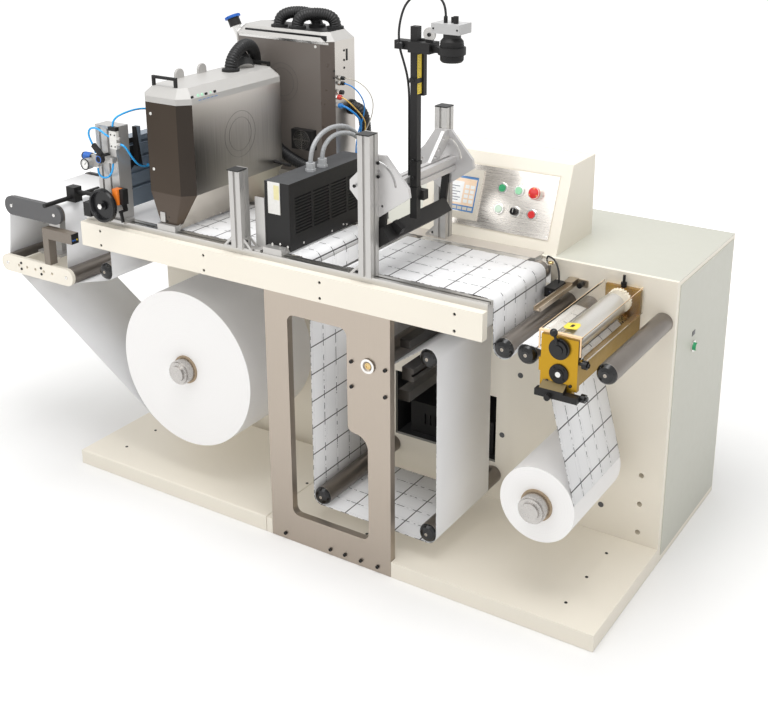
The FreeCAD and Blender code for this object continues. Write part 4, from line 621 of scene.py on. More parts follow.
def label_stock(name, printed_from):
    """White paper ruled in black past printed_from metres along it, by the web's UV map in metres."""
    material, tree, shader = finish(name, (0.86, 0.86, 0.87), 0.55)
    coords = tree.nodes.new("ShaderNodeSeparateXYZ")
    uv = tree.nodes.new("ShaderNodeTexCoord").outputs["UV"]
    tree.links.new(uv, coords.inputs[0])
    along, across = coords.outputs[0], coords.outputs[1]
    marks = tree.nodes.new("ShaderNodeTexNoise")
    marks.inputs["Scale"].default_value = 62
    marks.inputs["Detail"].default_value = 3
    tree.links.new(uv, marks.inputs["Vector"])
    dashes = sums(tree, "GREATER_THAN", marks.outputs[0], 0.52)
    broken = sums(tree, "MAXIMUM", near_line(tree, along, label_pitch, lane_corner), dashes)
    lane = sums(tree, "MULTIPLY", near_line(tree, across, lane_pitch, lane_half), broken)
    rules = near_line(tree, along, label_pitch, rule_half)
    rules = sums(tree, "MAXIMUM", rules, sums(tree, "MULTIPLY", lane, 0.92))
    pale = 0.0
    for shift, half_width in pale_lines:
        pale = sums(tree, "MAXIMUM", pale, near_line(tree, across, lane_pitch, half_width, shift))
    pale = sums(tree, "MULTIPLY", pale, sums(tree, "GREATER_THAN", marks.outputs[0], 0.4))
    start = sums(tree, "GREATER_THAN", along, printed_from)
    dark = sums(tree, "MULTIPLY", rules, start)
    faint = sums(tree, "MULTIPLY", sums(tree, "MULTIPLY", pale, 0.30), start)
    stock = mixed(tree, grain(tree, 6.0), (0.80, 0.80, 0.81), (0.87, 0.87, 0.875))
    ruled = mixed(tree, faint, stock, (0.36, 0.36, 0.38))
    coat(tree, shader, mixed(tree, dark, ruled, (0.075, 0.072, 0.075)))
    relief(tree, shader, grain(tree, 900.0), 0.00003)
    return material


label_pitch, lane_pitch = 0.0836, 0.060
rule_half, lane_half, lane_corner = 0.0019, 0.0016, 0.013
pale_lines = [(0.007, 0.0007), (-0.006, 0.0006), (-0.011, 0.0006)]
die_axis, die_radius = (0.755, 0.716), 0.0317
exit_bar, exit_radius = (0.730, 0.667), 0.009
print_start, unprinted = 0.26, 99.0
route = [("unwind_roll", -1), ("guide_roller_lower_left", -1), ("guide_roller_upper_left", -1),
         ("guide_roller_upper_right", -1), ("guide_roller_lower_right", 1), ("infeed_roller", 1),
         ("bed_entry_roller", -1), ("bed_turn_roller", -1), ("loop_roller_left", 1), ("loop_roller_right", 1),
         ("loop_roller_upper", 1), ("drive_roller", -1), ("bed_lift_roller", -1), ("bed_end_roller", -1),
         ("outfeed_roller_left", 1), ("outfeed_roller_right", -1)]
stations = [station(*stop) for stop in route]
stations += [np.array([*die_axis, -die_radius - web_offset]), np.array([*exit_bar, exit_radius + web_offset]),
             station("rewind_roll", -1)]
line, marks = web_line(stations)
travelled = np.concatenate([[0], np.cumsum(np.hypot(*np.diff(line, axis=0).T))])
printed = label_stock("printed_label_stock", travelled[marks[6]] + print_start)
plain = label_stock("plain_label_stock", unprinted)
for name, first, last in (("web_infeed", 0, 6), ("web_bed_first", 6, 7), ("web_loop", 7, 12),
                          ("web_bed_second", 12, 15), ("web_outfeed", 15, 18)):
    part = slice(marks[first], marks[last] + 1)
    n = len(line[part])
    points = np.concatenate([np.insert(line[part], 1, y, axis=1) for y in web_width])
    rank = np.arange(n - 1)
    mesh = bpy.data.meshes.new(name + "_labels")
    mesh.from_pydata(points.tolist(), [], np.stack([rank, rank + 1, rank + 1 + n, rank + n], 1).tolist())
    uv = np.stack([np.tile(travelled[part], 2), np.repeat([0.0, web_width[1] - web_width[0]], n)], 1)
    corner = np.zeros(len(mesh.loops), np.int32)
    mesh.loops.foreach_get("vertex_index", corner)
    mesh.uv_layers.new(name="web").data.foreach_set("uv", uv[corner].astype(np.float32).ravel())
    mesh.polygons.foreach_set("use_smooth", np.ones(len(mesh.polygons), bool))
    mesh.materials.append(printed)
    mesh.materials.append(plain)
    piece = bpy.data.objects.new(name + "_labels", mesh)
    bpy.context.scene.collection.objects.link(piece)
    thick = piece.modifiers.new("paper", "SOLIDIFY")
    thick.thickness = paper_thickness
    thick.offset = 0
    thick.material_offset = 1
    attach(piece, "press")
    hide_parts(name)


# Portal details
# The drive roller's outer bearing shows a brass bush in a bright ring, pressed into the portal plate. Black
# screws fill the plate's holes. One plate or casting may carry several finishes, so faces are chosen by
# place.
def zone(node, material, low, high, facing=None, limit=0.8):
    """Gives the material to faces whose middle lies in a box in mm and whose normal is along facing."""
    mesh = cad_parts[node].data
    mesh.materials.append(material)
    count = len(mesh.polygons)
    middle, normal = np.zeros(count * 3, np.float32), np.zeros(count * 3, np.float32)
    mesh.polygons.foreach_get("center", middle)
    mesh.polygons.foreach_get("normal", normal)
    place = middle.reshape(-1, 3) * 1000 + half_plate
    chosen = np.all((place > low) & (place < high), axis=1)
    if facing:
        chosen &= normal.reshape(-1, 3) @ (np.array(facing) / np.linalg.norm(facing)) > limit
    index = np.zeros(count, np.int32)
    mesh.polygons.foreach_get("material_index", index)
    index[chosen] = len(mesh.materials) - 1
    mesh.polygons.foreach_set("material_index", index)


def lathe(outline, spots, axis=(0, -1, 0), sides=28):
    """Shapes turned from (radius, height) in mm, standing on spots in mm and pointing along the axis."""
    return turned(np.asarray(outline, float) / 1000, in_frame(np.atleast_2d(spots)), axis, sides)


box_faces = np.array([(0, 1, 3, 2), (4, 6, 7, 5), (0, 4, 5, 1), (2, 3, 7, 6), (0, 2, 6, 4), (1, 5, 7, 3)])


def blocks(*spans):
    """Boxes from (x0, x1, y0, y1, z0, z1) in mm of the press."""
    spans = np.asarray(spans, float)
    corner = np.array([(i, j, k) for i in (0, 1) for j in (2, 3) for k in (4, 5)])
    faces = np.arange(len(spans))[:, None, None] * 8 + box_faces
    return in_frame(spans[:, corner]).reshape(-1, 3), faces.reshape(-1, 4)


def joined(*shapes):
    """Several (points, faces) shapes as one."""
    points, faces, start = [], [], 0
    for some_points, some_faces in shapes:
        points.append(np.asarray(some_points, float))
        faces += [[int(i) + start for i in face] for face in some_faces]
        start += len(some_points)
    return np.concatenate(points), faces


def pillar(outline, low, high, axis=1):
    """An outline of two coordinates in mm, drawn out from low to high along axis 0, 1 or 2."""
    flat = np.asarray(outline, float)
    points = in_frame(np.concatenate([np.insert(flat, axis, end, axis=1) for end in (low, high)]))
    n = len(flat)
    walls = [[i, (i + 1) % n, (i + 1) % n + n, i + n] for i in range(n)]
    return points, walls + [list(range(n))[::-1], list(range(n, 2 * n))]


def hoop(inner, outer, height):
    """A flat ring's outline for lathe."""
    return [(inner, 0), (outer, 0), (outer, height), (inner, height), (inner, 0)]


def screw(radius, height):
    """A socket-head screw's outline for lathe."""
    return [(0, 0), (radius, 0), (radius, height * 0.75), (radius * 0.84, height), (radius * 0.5, height),
            (radius * 0.5, height * 0.35), (0, height * 0.35)]


black_satin = moulded("black_satin_paint", (0.0115, 0.011, 0.011), 0.5)
black_gloss = moulded("black_gloss_plastic", (0.012, 0.012, 0.013), 0.16)
black_flat = moulded("black_flat_rubber", (0.018, 0.018, 0.018), 0.7)
white_paint = moulded("white_plastic", (0.72, 0.71, 0.68), 0.35)
silver = ground_steel("clear_anodised_aluminium", (0.50, 0.49, 0.475), (160, 160, 24), 0.34, 0.08, 0.55)
bright = ground_steel("bright_turned_steel", (0.74, 0.73, 0.71), (200, 200, 200), 0.2, 0.06)
brass = ground_steel("brass", (0.62, 0.46, 0.22), (200, 200, 200), 0.26, 0.06)
pale_plate = ground_steel("pale_cast_plate", (0.58, 0.57, 0.565), (30, 30, 30), 0.5, 0.05)
bore_x, bore_z = 228, 623
portal_face = -450.7
bush = [(0, 0), (9.4, 0), (9.4, 2.2), (6.2, 2.2), (6.2, 0.8), (0, 0.8)]
put("portal_bush", *lathe(bush, (bore_x, portal_face + 3.7, bore_z)), brass)
put("portal_bearing_ring", *lathe(hoop(14.2, 20.6, 1.0), (bore_x, portal_face, bore_z)), bright)
portal_spots = [(174, 623), (281, 623), (174, 550), (281, 546)] + [(x, 18) for x in (-67, 93, 143, 197, 253)]
portal_screws = [(x, portal_face + 2.2, z) for x, z in portal_spots]
put("portal_screws", *lathe(screw(5.1, 3.0), portal_screws), screw_black)


# Roller ends and the bed
# The bed's rollers turn on brass-faced bearings. The bed is drawn aluminium under a thin tan cover, bolted
# to the plate, and dark steel bars below it press the web on the drive roller.
for name in plain_rollers:
    low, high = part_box(name)
    middle = ((low.x + high.x) * 500, low.y * 1000 + 6, (low.z + high.z) * 500)
    bearing = silver if "guide" in name else brass
    put(name + "_bearing", *lathe(hoop(12.6, 22.5, 0.35), middle), bearing, body=name)
bed_strip = ground_steel("bed_strip", (0.54, 0.53, 0.51), (14, 700, 700), 0.3, 0.08)
dress(bed_strip, "bed_frame")
cover_tan = powder_coat("bed_cover_tan", (0.44, 0.40, 0.35), 0.4)
zone("bed_frame", cover_tan, (-800, -61, 855), (700, 1, 870), (0, 0, 1))
nip_steel = ground_steel("nip_bar_steel", (0.11, 0.105, 0.10), (300, 6, 300), 0.35)
zone("bed_frame", nip_steel, (200, -420, 400), (400, 1, 780))
put("bed_stop_knob", *lathe([(0, 0), (8, 0), (8, 3), (6.5, 4), (0, 4)], (554, -40, 850), (0, 0, 1)), brass)


# Print engine 1
# A tall box of folded stainless sheet with brushed sides, a dark bronze mirror at the front and a moulded
# light grey cap, which holds the switches and lamps.
def brushed_side_painted_band(name, light, dark, painted_band_z, reach):
    """Vertical brushing, painted darker towards the height painted_band_z in metres: a painted reflection
    band.
    """
    material, tree, shader = finish(name, light, 0.3, 1.0)
    lines = grain(tree, 1.0, (420, 420, 5), 3.0)
    cloud = grain(tree, 3.0, detail=2.0)
    above = sums(tree, "ABSOLUTE", sums(tree, "SUBTRACT", place_of(tree)[2], painted_band_z))
    away = sums(tree, "MINIMUM", sums(tree, "DIVIDE", above, reach), 1.0)
    painted_band_fade = sums(tree, "MULTIPLY", away, away)
    painted_band_tone = mixed(tree, painted_band_fade, dark, light)
    tint = mixed(tree, spread(tree, lines, 0.0, 0.5), painted_band_tone, tuple(c * 0.82 for c in light))
    coat(tree, shader, tint, spread(tree, cloud, 0.22, 0.36))
    relief(tree, shader, lines, 0.00003)
    return material


def dark_mirror(name, colour, roughness=0.14):
    """Bronze-dark polished sheet with a faint unevenness."""
    material, tree, shader = finish(name, colour, roughness, 1.0)
    cloud = grain(tree, 6.0, detail=2.0)
    tint = mixed(tree, cloud, *shades(colour, 0.85, 1.15))
    coat(tree, shader, tint, spread(tree, cloud, roughness - 0.04, roughness + 0.06))
    return material


# The side steel carries a painted reflection: a dark band painted round the sides' middle height.
side_steel = brushed_side_painted_band("engine_1_side_steel_painted_band", (0.52, 0.49, 0.46), (0.15, 0.14, 0.13), 1.09, 0.14)
bronze = dark_mirror("engine_front_bronze", (0.062, 0.049, 0.039))
# The chamfer faces get a darker copy of the front bronze: painted shade.
bronze_painted_shade = dark_mirror("engine_chamfer_bronze_painted_shade", (0.042, 0.035, 0.030))
# The lower taper's front gets a lighter copy of the front bronze: painted light.
bronze_painted_light = dark_mirror("engine_taper_bronze_painted_light", (0.085, 0.068, 0.056), 0.2)
# The lower taper's side faces get a brighter copy of the side steel: painted light.
taper_painted_light = ground_steel("engine_1_taper_steel", (0.62, 0.58, 0.52), (420, 6, 420), 0.34, 0.08)
dress(side_steel, "engine_1_body")
zone("engine_1_body", bronze, (-600, -420, 970), (-380, -377, 1240), (0, -1, 0), 0.6)
zone("engine_1_body", bronze_painted_shade, (-434, -420, 970), (-398, -370, 1240), (0.7, -0.7, 0), 0.9)
zone("engine_1_body", taper_painted_light, (-500, -420, 860), (-380, 60, 974), (1, 0, -0.6), 0.6)
zone("engine_1_body", bronze_painted_light, (-600, -420, 860), (-380, -360, 974), (0, -1, 0), 0.6)
zone("engine_1_body", silver, (-600, -430, 855), (-380, 0, 881))
cap_grey = moulded("engine_cap_grey", (0.44, 0.43, 0.415), 0.4, 0.03, 30.0)
dress(cap_grey, "engine_1_cap")
zone("engine_1_cap", black_satin, (-545, -392, 1279), (-448, -376, 1310))
zone("engine_1_cap", black_satin, (-533, 14, 1279), (-436, 26, 1310))
to_right, upwards, lens_side = (1, 0, 0), (0, 0, 1), (1, 0, 0.3)
collar = (18.4, 26.6)
put("engine_1_collar", *lathe(hoop(*collar, 7.2), (-490, -103, 1278), upwards), black_flat)
put("engine_1_rear_collar", *lathe(hoop(*collar, 21), (-487, -38, 1276.4), (-0.54, 0.38, 0.75)), black_flat)
mark_grey = moulded("ring_mark_grey", (0.10, 0.095, 0.09), 0.4)
side_rings = joined(*[lathe(hoop(r - 1, r, 0.4), (-401, -177, 1112), to_right, 72) for r in (50.5, 69.5)])
put("engine_1_side_ring", *side_rings, mark_grey)
lamp_green = moulded("lamp_lens_green", (0.42, 0.72, 0.52), 0.2)
lens = [(0, 0), (5.5, 0), (5.5, 1.2), (4.2, 2.2), (0, 2.2)]
small_lens = [(0, 0), (3.5, 0), (3, 1.6), (0, 1.8)]
put("engine_1_lamps", *lathe(lens, [(-405, -347, 1256), (-405, -330, 1256)], lens_side), lamp_green)
put("engine_1_rear_lamp", *lathe(small_lens, (-405, -294, 1256), lens_side), lamp_green)
switches = [(-405, -402, y - 5, y + 5, 1250, 1260) for y in (-373, -315, -278)]
put("engine_1_switches", *blocks(*switches), black_gloss, bevel=0.0008)
dash_blue = moulded("marking_blue", (0.03, 0.20, 0.55), 0.4)
dashes = [(-401.2, -400.6, y, y + 12, 1243, 1244.6) for y in range(-350, -270, 17)]
put("engine_1_dashes", *blocks(*dashes), dash_blue)
screws_front = [(-529, -410, 1202), (-530, -410, 1040)]
put("engine_1_front_screws", *lathe(screw(4.4, 1.8), screws_front), white_paint)
latch = joined(blocks((-517, -499, -410.5, -404, 884, 914)),
               lathe([(0, 0), (3, 0), (3, 26), (0, 26)], (-508, -409, 886), upwards))
put("engine_1_latch", *latch, silver, bevel=0.0006)
latch_spots = [(-493, -405.5, 888), (-486, -405.5, 902), (-511, -405.5, 917)]
put("engine_1_latch_screws", *lathe(screw(3.4, 2), latch_spots), screw_black)
pins = [(-453, y, 872) for y in range(-354, -190, 26)]
put("engine_1_pins", *lathe([(0, 0), (3.2, 0), (3.2, 3), (0, 3)], pins, (1, 0, -0.6)), bright)
link = lathe([(0, 0), (5, 0), (5, 62), (0, 62)], (-402, -20, 992), (1, 0, -0.06))
put("engine_1_link_rod", *link, black_satin)


# Print engine 2
# The same build, standing on the cabinet behind engine 1: a bronze painted front, a pale right side with
# plugs and sockets, a fan behind a wire guard and a filler neck with a blue cap.
front_2 = powder_coat("engine_2_front_bronze", (0.165, 0.145, 0.13), 0.35)
# The chamfer faces get a darker copy of the front's bronze coat: painted shade.
chamfer_2_painted_shade = powder_coat("engine_2_chamfer_bronze_painted_shade", (0.10, 0.080, 0.068), 0.3)
# The right side carries a milder painted reflection: a darker band painted round its middle height.
side_2 = brushed_side_painted_band("engine_2_side_steel_painted_band", (0.62, 0.59, 0.55), (0.46, 0.43, 0.40), 1.12, 0.2)
dress(side_2, "engine_2_body")
zone("engine_2_body", front_2, (-700, 60, 920), (-270, 140, 1353), (0, -1, 0), 0.6)
zone("engine_2_body", chamfer_2_painted_shade, (-310, 60, 920), (-270, 140, 1353), (0.7, -0.7, 0), 0.9)
zone("engine_2_body", cap_grey, (-700, 60, 1352.5), (-270, 280, 1500))
zone("engine_2_body", black_satin, (-520, 90, 1377), (-300, 260, 1390))
zone("engine_2_body", black_satin, (-410, 70, 1010), (-325, 99, 1080))
zone("engine_2_body", black_satin, (-275, 190, 1100), (-250, 250, 1170))
zone("engine_2_body", black_satin, (-274.5, 130, 1140), (-250, 175, 1250))
put("engine_2_trough", *blocks((-607, -294, 112, 118, 1353, 1370)), black_gloss)
put("engine_2_lip", *blocks((-622, -276, 99.2, 100.4, 1346, 1353)), bright)
put("engine_2_front_screws", *lathe(screw(4.4, 1.8), [(-573, 100.2, 1332), (-324, 100.2, 1337)]), white_paint)
front_rings = joined(*[lathe(hoop(r - 1, r, 0.4), (-455, 100, 1215), (0, -1, 0), 72) for r in (44.5, 60.5)])
put("engine_2_front_ring", *front_rings, mark_grey)
tops = [(-500, 152), (-430, 152), (-400, 215), (-330, 215)]
put("engine_2_collars", *lathe(hoop(*collar, 7.4), [(x, y, 1377.4) for x, y in tops], upwards), black_flat)
right_face = -275
side_places = ((181, 1319), (181, 1289), (181, 1265), (127, 1263), (124, 1242))
side_spots = [(right_face, y, z) for y, z in side_places]
put("engine_2_side_screws", *lathe(screw(3.6, 1.8), side_spots, to_right), screw_black)
put("engine_2_side_strip", *blocks((right_face, -273.6, 192, 199, 1286, 1322)), black_satin)
plug_places = ((158, 1237), (157, 1221), (151, 1194), (140, 1180), (144, 1153))
plug_spots = [(right_face, y, z) for y, z in plug_places]
nuts = lathe([(0, 0), (8.4, 0), (8.4, 4), (7.2, 4.8), (0, 4.8)], plug_spots, to_right, 6)
put("engine_2_plug_nuts", *nuts, bright, crease=20)
barrel_outline = [(5.3, 3), (6.4, 4), (6.4, 12), (5.8, 13), (5.8, 15), (4.2, 17.5), (3.4, 17.5)]
put("engine_2_plug_barrels", *lathe(barrel_outline, plug_spots[:2], to_right), black_gloss)
plug_red = moulded("plug_red", (0.55, 0.05, 0.04), 0.35)
plug_outline = [(7.2, 4.6), (8, 5), (8, 15), (6, 17.4), (3, 17.4)]
put("engine_2_red_plug", *lathe(plug_outline, plug_spots[3], to_right), plug_red)
put("engine_2_blue_plug", *lathe(plug_outline, plug_spots[4], to_right), dash_blue)
cap_blue = moulded("filler_cap_blue", (0.02, 0.13, 0.50), 0.3)
lean_left = (-0.42, 0, 0.907)
zone("engine_2_body", bright, (-720, 120, 1250), (-640, 200, 1365))
put("filler_neck", *lathe([(19.4, 0), (19.4, 26), (15, 27)], (-684, 160, 1363), lean_left), black_satin)
cap_profile = [(0, 9.6), (22, 9.6), (24.6, 8), (24.6, 0), (19, -0.4)]
cap_middle, cap_up, cap_side = np.array([-695, 160, 1387.0]), np.array(lean_left), np.array([0.907, 0, 0.42])
put("filler_cap", *lathe(cap_profile, cap_middle, lean_left, 48), cap_blue)
ribs = []
for angle in np.arange(24) * 2 * math.pi / 24:
    out = cap_side * math.cos(angle) + np.array([0, 1, 0]) * math.sin(angle)
    across = np.cross(cap_up, out)
    rib = [cap_middle + out * r + across * w + cap_up * h
           for r in (24.2, 26) for w in (-1.3, 1.3) for h in (0.6, 8)]
    ribs.append((in_frame(rib), box_faces))
put("filler_cap_ribs", *joined(*ribs), cap_blue)
fan_middle = (-367.5, 75, 1044.5)
guard_rings = [lathe(hoop(r, r + 1.3, 1.2), fan_middle, (0, -1, 0), 40) for r in (6, 12, 18, 24, 30)]
guard_cross = blocks((-399, -336, 73.6, 75, 1043.6, 1045.4), (-368.4, -366.6, 73.6, 75, 1015, 1074))
put("fan_guard", *joined(*guard_rings, guard_cross), bright)


# Dryer
# A black steel box with pressed louvres down its side, a pale label plate screwed to its front and two hose
# glands on top.
dress(black_satin, "dryer_body")
# The box's top gets a lighter copy of its black: painted light from above.
dryer_top = powder_coat("dryer_top_painted_light", (0.055, 0.057, 0.06), 0.5)
zone("dryer_body", dryer_top, (-146, -400, 1058), (-60, 0, 1062), (0, 0, 1))
zone("dryer_body", silver, (-146, -430, 855), (-60, 0, 881))
gland = moulded("gland_grey", (0.44, 0.45, 0.46), 0.25)
zone("dryer_body", gland, (-110, -262, 1061), (-80, -172, 1100))
gland_nut = [(13.2, 0), (15.6, 0), (15.6, 7), (13.2, 8)]
gland_spots = [(-95, y, 1060) for y in (-245, -190)]
put("dryer_gland_nuts", *lathe(gland_nut, gland_spots, upwards, 6), gland, crease=20)
put("dryer_plate", *blocks((-133, -92, -392, -390.2, 970, 1060)), white_paint, bevel=0.0004)
label_yellow = moulded("label_yellow", (0.72, 0.66, 0.36), 0.45)
put("dryer_label", *blocks((-112, -94, -392.5, -392, 1012, 1052)), label_yellow)
dryer_front = [(x, -390, z) for x, z in ((-123, 882), (-96, 886), (-70, 882))]
put("dryer_front_screws", *lathe(screw(3.6, 2), dryer_front), bright)
dryer_side = [(-62, y, z) for y, z in ((-140, 880), (-123, 876), (-196, 876), (-330, 880), (-40, 1046))]
put("dryer_side_screws", *lathe(screw(3.2, 1.8), dryer_side, to_right), bright)
dress(silver, "dryer_bracket")


# Gantry, lamp bar and camera mast
# Slotted aluminium posts with black end caps, screwed to the rail, carry cast fan plates. The lamp bar
# under them and the mast are painted black.
dress(silver, "gantry_posts")
dress(pale_plate, "gantry_arm")
cap_plastic = moulded("post_cap_black", (0.03, 0.03, 0.03), 0.5)
for x, y, z in ((-218, -416, 1085), (208, -416, 1240), (208, -30, 1240)):
    put("post_cap_%d_%d" % (x, y), *blocks((x - 19.4, x + 19.4, y - 19.4, y + 19.4, z, z + 3.3)), cap_plastic)
brackets = [(-218, -416, -1), (-218, -416, 1), (208, -416, -1), (208, -30, -1)]
foot_screws = [(x + side * 34, y, 866) for x, y, side in brackets]
put("post_foot_screws", *lathe(screw(4.4, 4), foot_screws, upwards), screw_black)
for name, facing in (("post_wall_screws", 1), ("post_left_wall_screws", -1)):
    wall_screws = [(x + side * 23.2, y, 884) for x, y, side in brackets if side == facing]
    put(name, *lathe(screw(4.2, 3.6), wall_screws, (facing, 0, 0)), screw_black)
dress(black_satin, "lamp_bar", "camera_mast")
fan_spots = [(231, -396.7, 1165), (231, -396.7, 1129), (157, -396.7, 1093)]
put("fan_plate_screws", *lathe(screw(4.6, 3.4), fan_spots), screw_black)
put("lamp_silver_edge", *blocks((200, 203.5, -390, -62, 952, 956)), silver)
scale_yellow = moulded("scale_yellow", (0.80, 0.60, 0.06), 0.4)
put("mast_scale", *blocks((285.8, 287.2, -299, -281, 1330, 1430)), scale_yellow)
scale_marks = [(287.2, 287.4, -298, -288 if i % 5 == 0 else -292, z, z + 0.7)
               for i, z in enumerate(np.arange(1334, 1430, 4.0))]
put("mast_scale_marks", *blocks(*scale_marks), black_flat)
mast_screws = [(276, -304.2, z) for z in (1110, 1157, 1364, 1440)]
put("mast_screws", *lathe(screw(3.6, 3), mast_screws), screw_black)
put("mast_knob", *lathe([(0, 0), (9, 0), (9, 10), (7.5, 12), (0, 12)], (243, -306, 1452)), black_gloss)


# Camera
# A light grey cast head over a black lens with knurled rings, held to the mast by a clamp ring and a silver
# tilt plate.
dress(black_satin, "camera")
head_grey = moulded("camera_head_grey", (0.42, 0.42, 0.42), 0.35, 0.04)
zone("camera", head_grey, (334, -320, 1490.5), (416, -250, 1517))
zone("camera", silver, (304, -294, 1470), (334.6, -286, 1510))
lens_x, lens_y = 379.6, -290
knurl_z = (1427, 1431, 1435, 1439, 1457, 1461, 1465)
knurl = [lathe(hoop(29, 29.9, 1.1), (lens_x, lens_y, z), upwards, 48) for z in knurl_z]
put("camera_lens_rings", *joined(*knurl), black_flat)
glass, glass_tree, glass_shader = finish("lens_glass", (0.01, 0.012, 0.02), 0.04)
glass_tint = mixed(glass_tree, grain(glass_tree, 40.0), (0.008, 0.010, 0.018), (0.014, 0.014, 0.024))
coat(glass_tree, glass_shader, glass_tint)
front_lens = lathe([(0, 0), (20, 0), (14, 1.2), (0, 2)], (lens_x, lens_y, 1420), (0, 0, -1), 40)
put("camera_lens_glass", *front_lens, glass)
head_screws = [(x, -316.2, 1503) for x in (341, 408)]
put("camera_head_screws", *lathe(screw(2.4, 1.2), head_screws), screw_black)
put("camera_tilt_screw", *lathe(screw(5, 3), (315.6, -293.2, 1482)), screw_black)


# Adjuster station
# Slotted aluminium uprights carry a blue-grey painted beam. A black moulded handwheel sets its height, and
# the air valves and their gauge are screwed to the front.
beam_blue = powder_coat("beam_blue_grey", (0.17, 0.21, 0.26), 0.32)
wheel_black = moulded("handwheel_black", (0.014, 0.014, 0.015), 0.2)
dress(silver, "adjuster_frame", "adjuster_valves")
dress(beam_blue, "adjuster_beam")
dress(wheel_black, "adjuster_handwheel")
zone("adjuster_beam", black_satin, (-662, -390, 1018), (-640, -350, 1140))
zone("adjuster_valves", black_satin, (-722, -466, 1062), (-680, -437, 1103))
zone("adjuster_valves", white_paint, (-670, -450, 1085), (-638, -430, 1144))
zone("adjuster_valves", black_satin, (-672, -452, 1141.5), (-635, -430, 1160))
zone("adjuster_valves", black_satin, (-790, -460, 1040), (-744, -440, 1066))
zone("adjuster_valves", black_satin, (-660, -470, 870), (-610, -430, 980))
wheel_nut = lathe([(0, 0), (8.6, 0), (8.6, 3.4), (6, 4), (0, 4)], (-685, -480, 920), sides=6)
put("wheel_nut", *wheel_nut, bright, body="adjuster_wheel", crease=20)
dial_white = moulded("gauge_dial_white", (0.80, 0.80, 0.78), 0.3)
gauge_x, gauge_z, tick_in, tick_out = -745, 1036, 10.4, 13.4
put("gauge_rim", *lathe(hoop(14.4, 17.3, 2.2), (gauge_x, -469.4, gauge_z)), black_gloss)
dial = lathe([(0, 0), (14.5, 0), (14.5, 0.6), (0, 0.6)], (gauge_x, -470, gauge_z), sides=40)
put("gauge_dial", *dial, dial_white)
marks_of_gauge = []
for angle in np.radians(np.linspace(-40, 220, 14)):
    out, across = np.array([math.cos(angle), math.sin(angle)]), np.array([-math.sin(angle), math.cos(angle)])
    tick = [out * tick_in, out * tick_out + across * 0.5, out * tick_out - across * 0.5]
    marks_of_gauge.append(pillar(np.array(tick) + (gauge_x, gauge_z), -471.2, -470.4))
marks_of_gauge.append(pillar([(-746, 1035.4), (-744.4, 1034.6), (-737, 1045)], -471.6, -470.4))
put("gauge_marks", *joined(*marks_of_gauge), black_gloss)
knob_ribs = [(r, h) for i in range(0, 30, 5) for r, h in ((12.2, i + 1), (12.2, i + 3), (11.2, i + 4))]
knob_outline = [(11.4, 0)] + knob_ribs + [(9, 32), (0, 32)]
put("regulator_knob", *lathe(knob_outline, (-742, -442, 1053), (-1, 0, 0)), cap_blue)
put("valve_hub", *lathe([(12.4, 0), (12.4, 12), (9, 14), (0, 14)], (-690, -454, 1058)), black_satin)
put("valve_hub_ring", *lathe(hoop(8.6, 10.6, 0.8), (-690, -468, 1058)), cap_blue)
low_fitting, high_fitting = (-723, -441, 1027), (-728, -441, 1063)
nut_down = [(0, 0), (4.8, 0), (4.8, 4), (3.6, 5), (0, 5)]
nut_up = [(0, -4), (4.8, -4), (4.8, 2), (3.6, 3), (0, 3)]
put("valve_fittings", *lathe(nut_down, low_fitting, (0, 0, -1)), bright)
put("valve_fittings_up", *lathe(nut_up, high_fitting, upwards), bright)
port = [(0, 0), (5.2, 0), (5.2, 3), (4, 4), (0, 4)]
put("valve_ports", *lathe(port, [(-639, -437, 1120), (-639, -437, 1104)], to_right), bright)
orange = moulded("indicator_orange", (0.80, 0.20, 0.02), 0.35)
put("indicator_cover", *blocks((-655.5, -634, -458.5, -436.3, 925.5, 972.5)), orange, bevel=0.0008)
valve_screws = [(x, -442.2, z) for z in (1130, 1096) for x in (-660, -645)]
put("valve_small_screws", *lathe(screw(2.2, 1.2), valve_screws), screw_black)
put("adjuster_screws", *lathe(screw(5, 3.5), [(-742, -436, 871), (-645, -436, 871)], upwards), screw_black)


# Web guide
# Dark grey side plates turn over a cream ladder of bolted bars. The edge sensor is a brown-grey box with
# small lamps, clamped to black rods.
guide_grey = powder_coat("guide_plate_grey", (0.085, 0.085, 0.088), 0.45)
sensor_tan = moulded("guide_sensor_tan", (0.19, 0.16, 0.13), 0.45)
dress(guide_grey, "guide_sides")
dress(black_satin, "guide_rods")
dress(sensor_tan, "guide_sensor")
zone("guide_sensor", black_satin, (-895, -430, 740), (-880, -380, 800), (1, 0, 0))
zone("guide_ladder", silver, (-1142, -345, 650.5), (-1030, -195, 760))
pan = [(0, 0), (6, 0), (5.4, 2), (3, 3), (1.6, 3), (1.4, 1.6), (0, 1.6)]
put("guide_plate_screws", *lathe(pan, [(x, -404, 823) for x in (-1168, -975)]), bright)
put("guide_ladder_screws", *lathe(pan, [(x, -418, 629) for x in (-1197, -929)]), bright)
rung_screws = [(x, -418, z) for x in (-1133, -1041) for z in (619, 639)]
put("guide_rungs_screws", *lathe(screw(4.2, 2.6), rung_screws), screw_black)
guide_lens = [(0, 0), (2.8, 0), (2.4, 1), (0, 1.2)]
put("guide_blue_lamps", *lathe(guide_lens, [(-890, -412, 757), (-890, -404, 757)], to_right), cap_blue)
put("guide_yellow_lamp", *lathe(guide_lens, (-890, -396, 757), to_right), scale_yellow)


# Outfeed sensor
# A black optical head and a black moulded knob, both clamped to a tan anodised channel that is bolted to
# the plate.
channel_tan = ground_steel("channel_tan", (0.52, 0.45, 0.36), (200, 20, 200), 0.32, 0.08)
dress(channel_tan, "outfeed_sensor")
zone("outfeed_sensor", black_satin, (568, -111, 779), (602.2, -39, 807))
zone("outfeed_sensor", black_gloss, (624, -27, 780), (645, -7, 810))
put("outfeed_lens", *lathe([(0, 0), (5, 0), (4, 1.2), (0, 1.4)], (586, -110, 793)), glass)


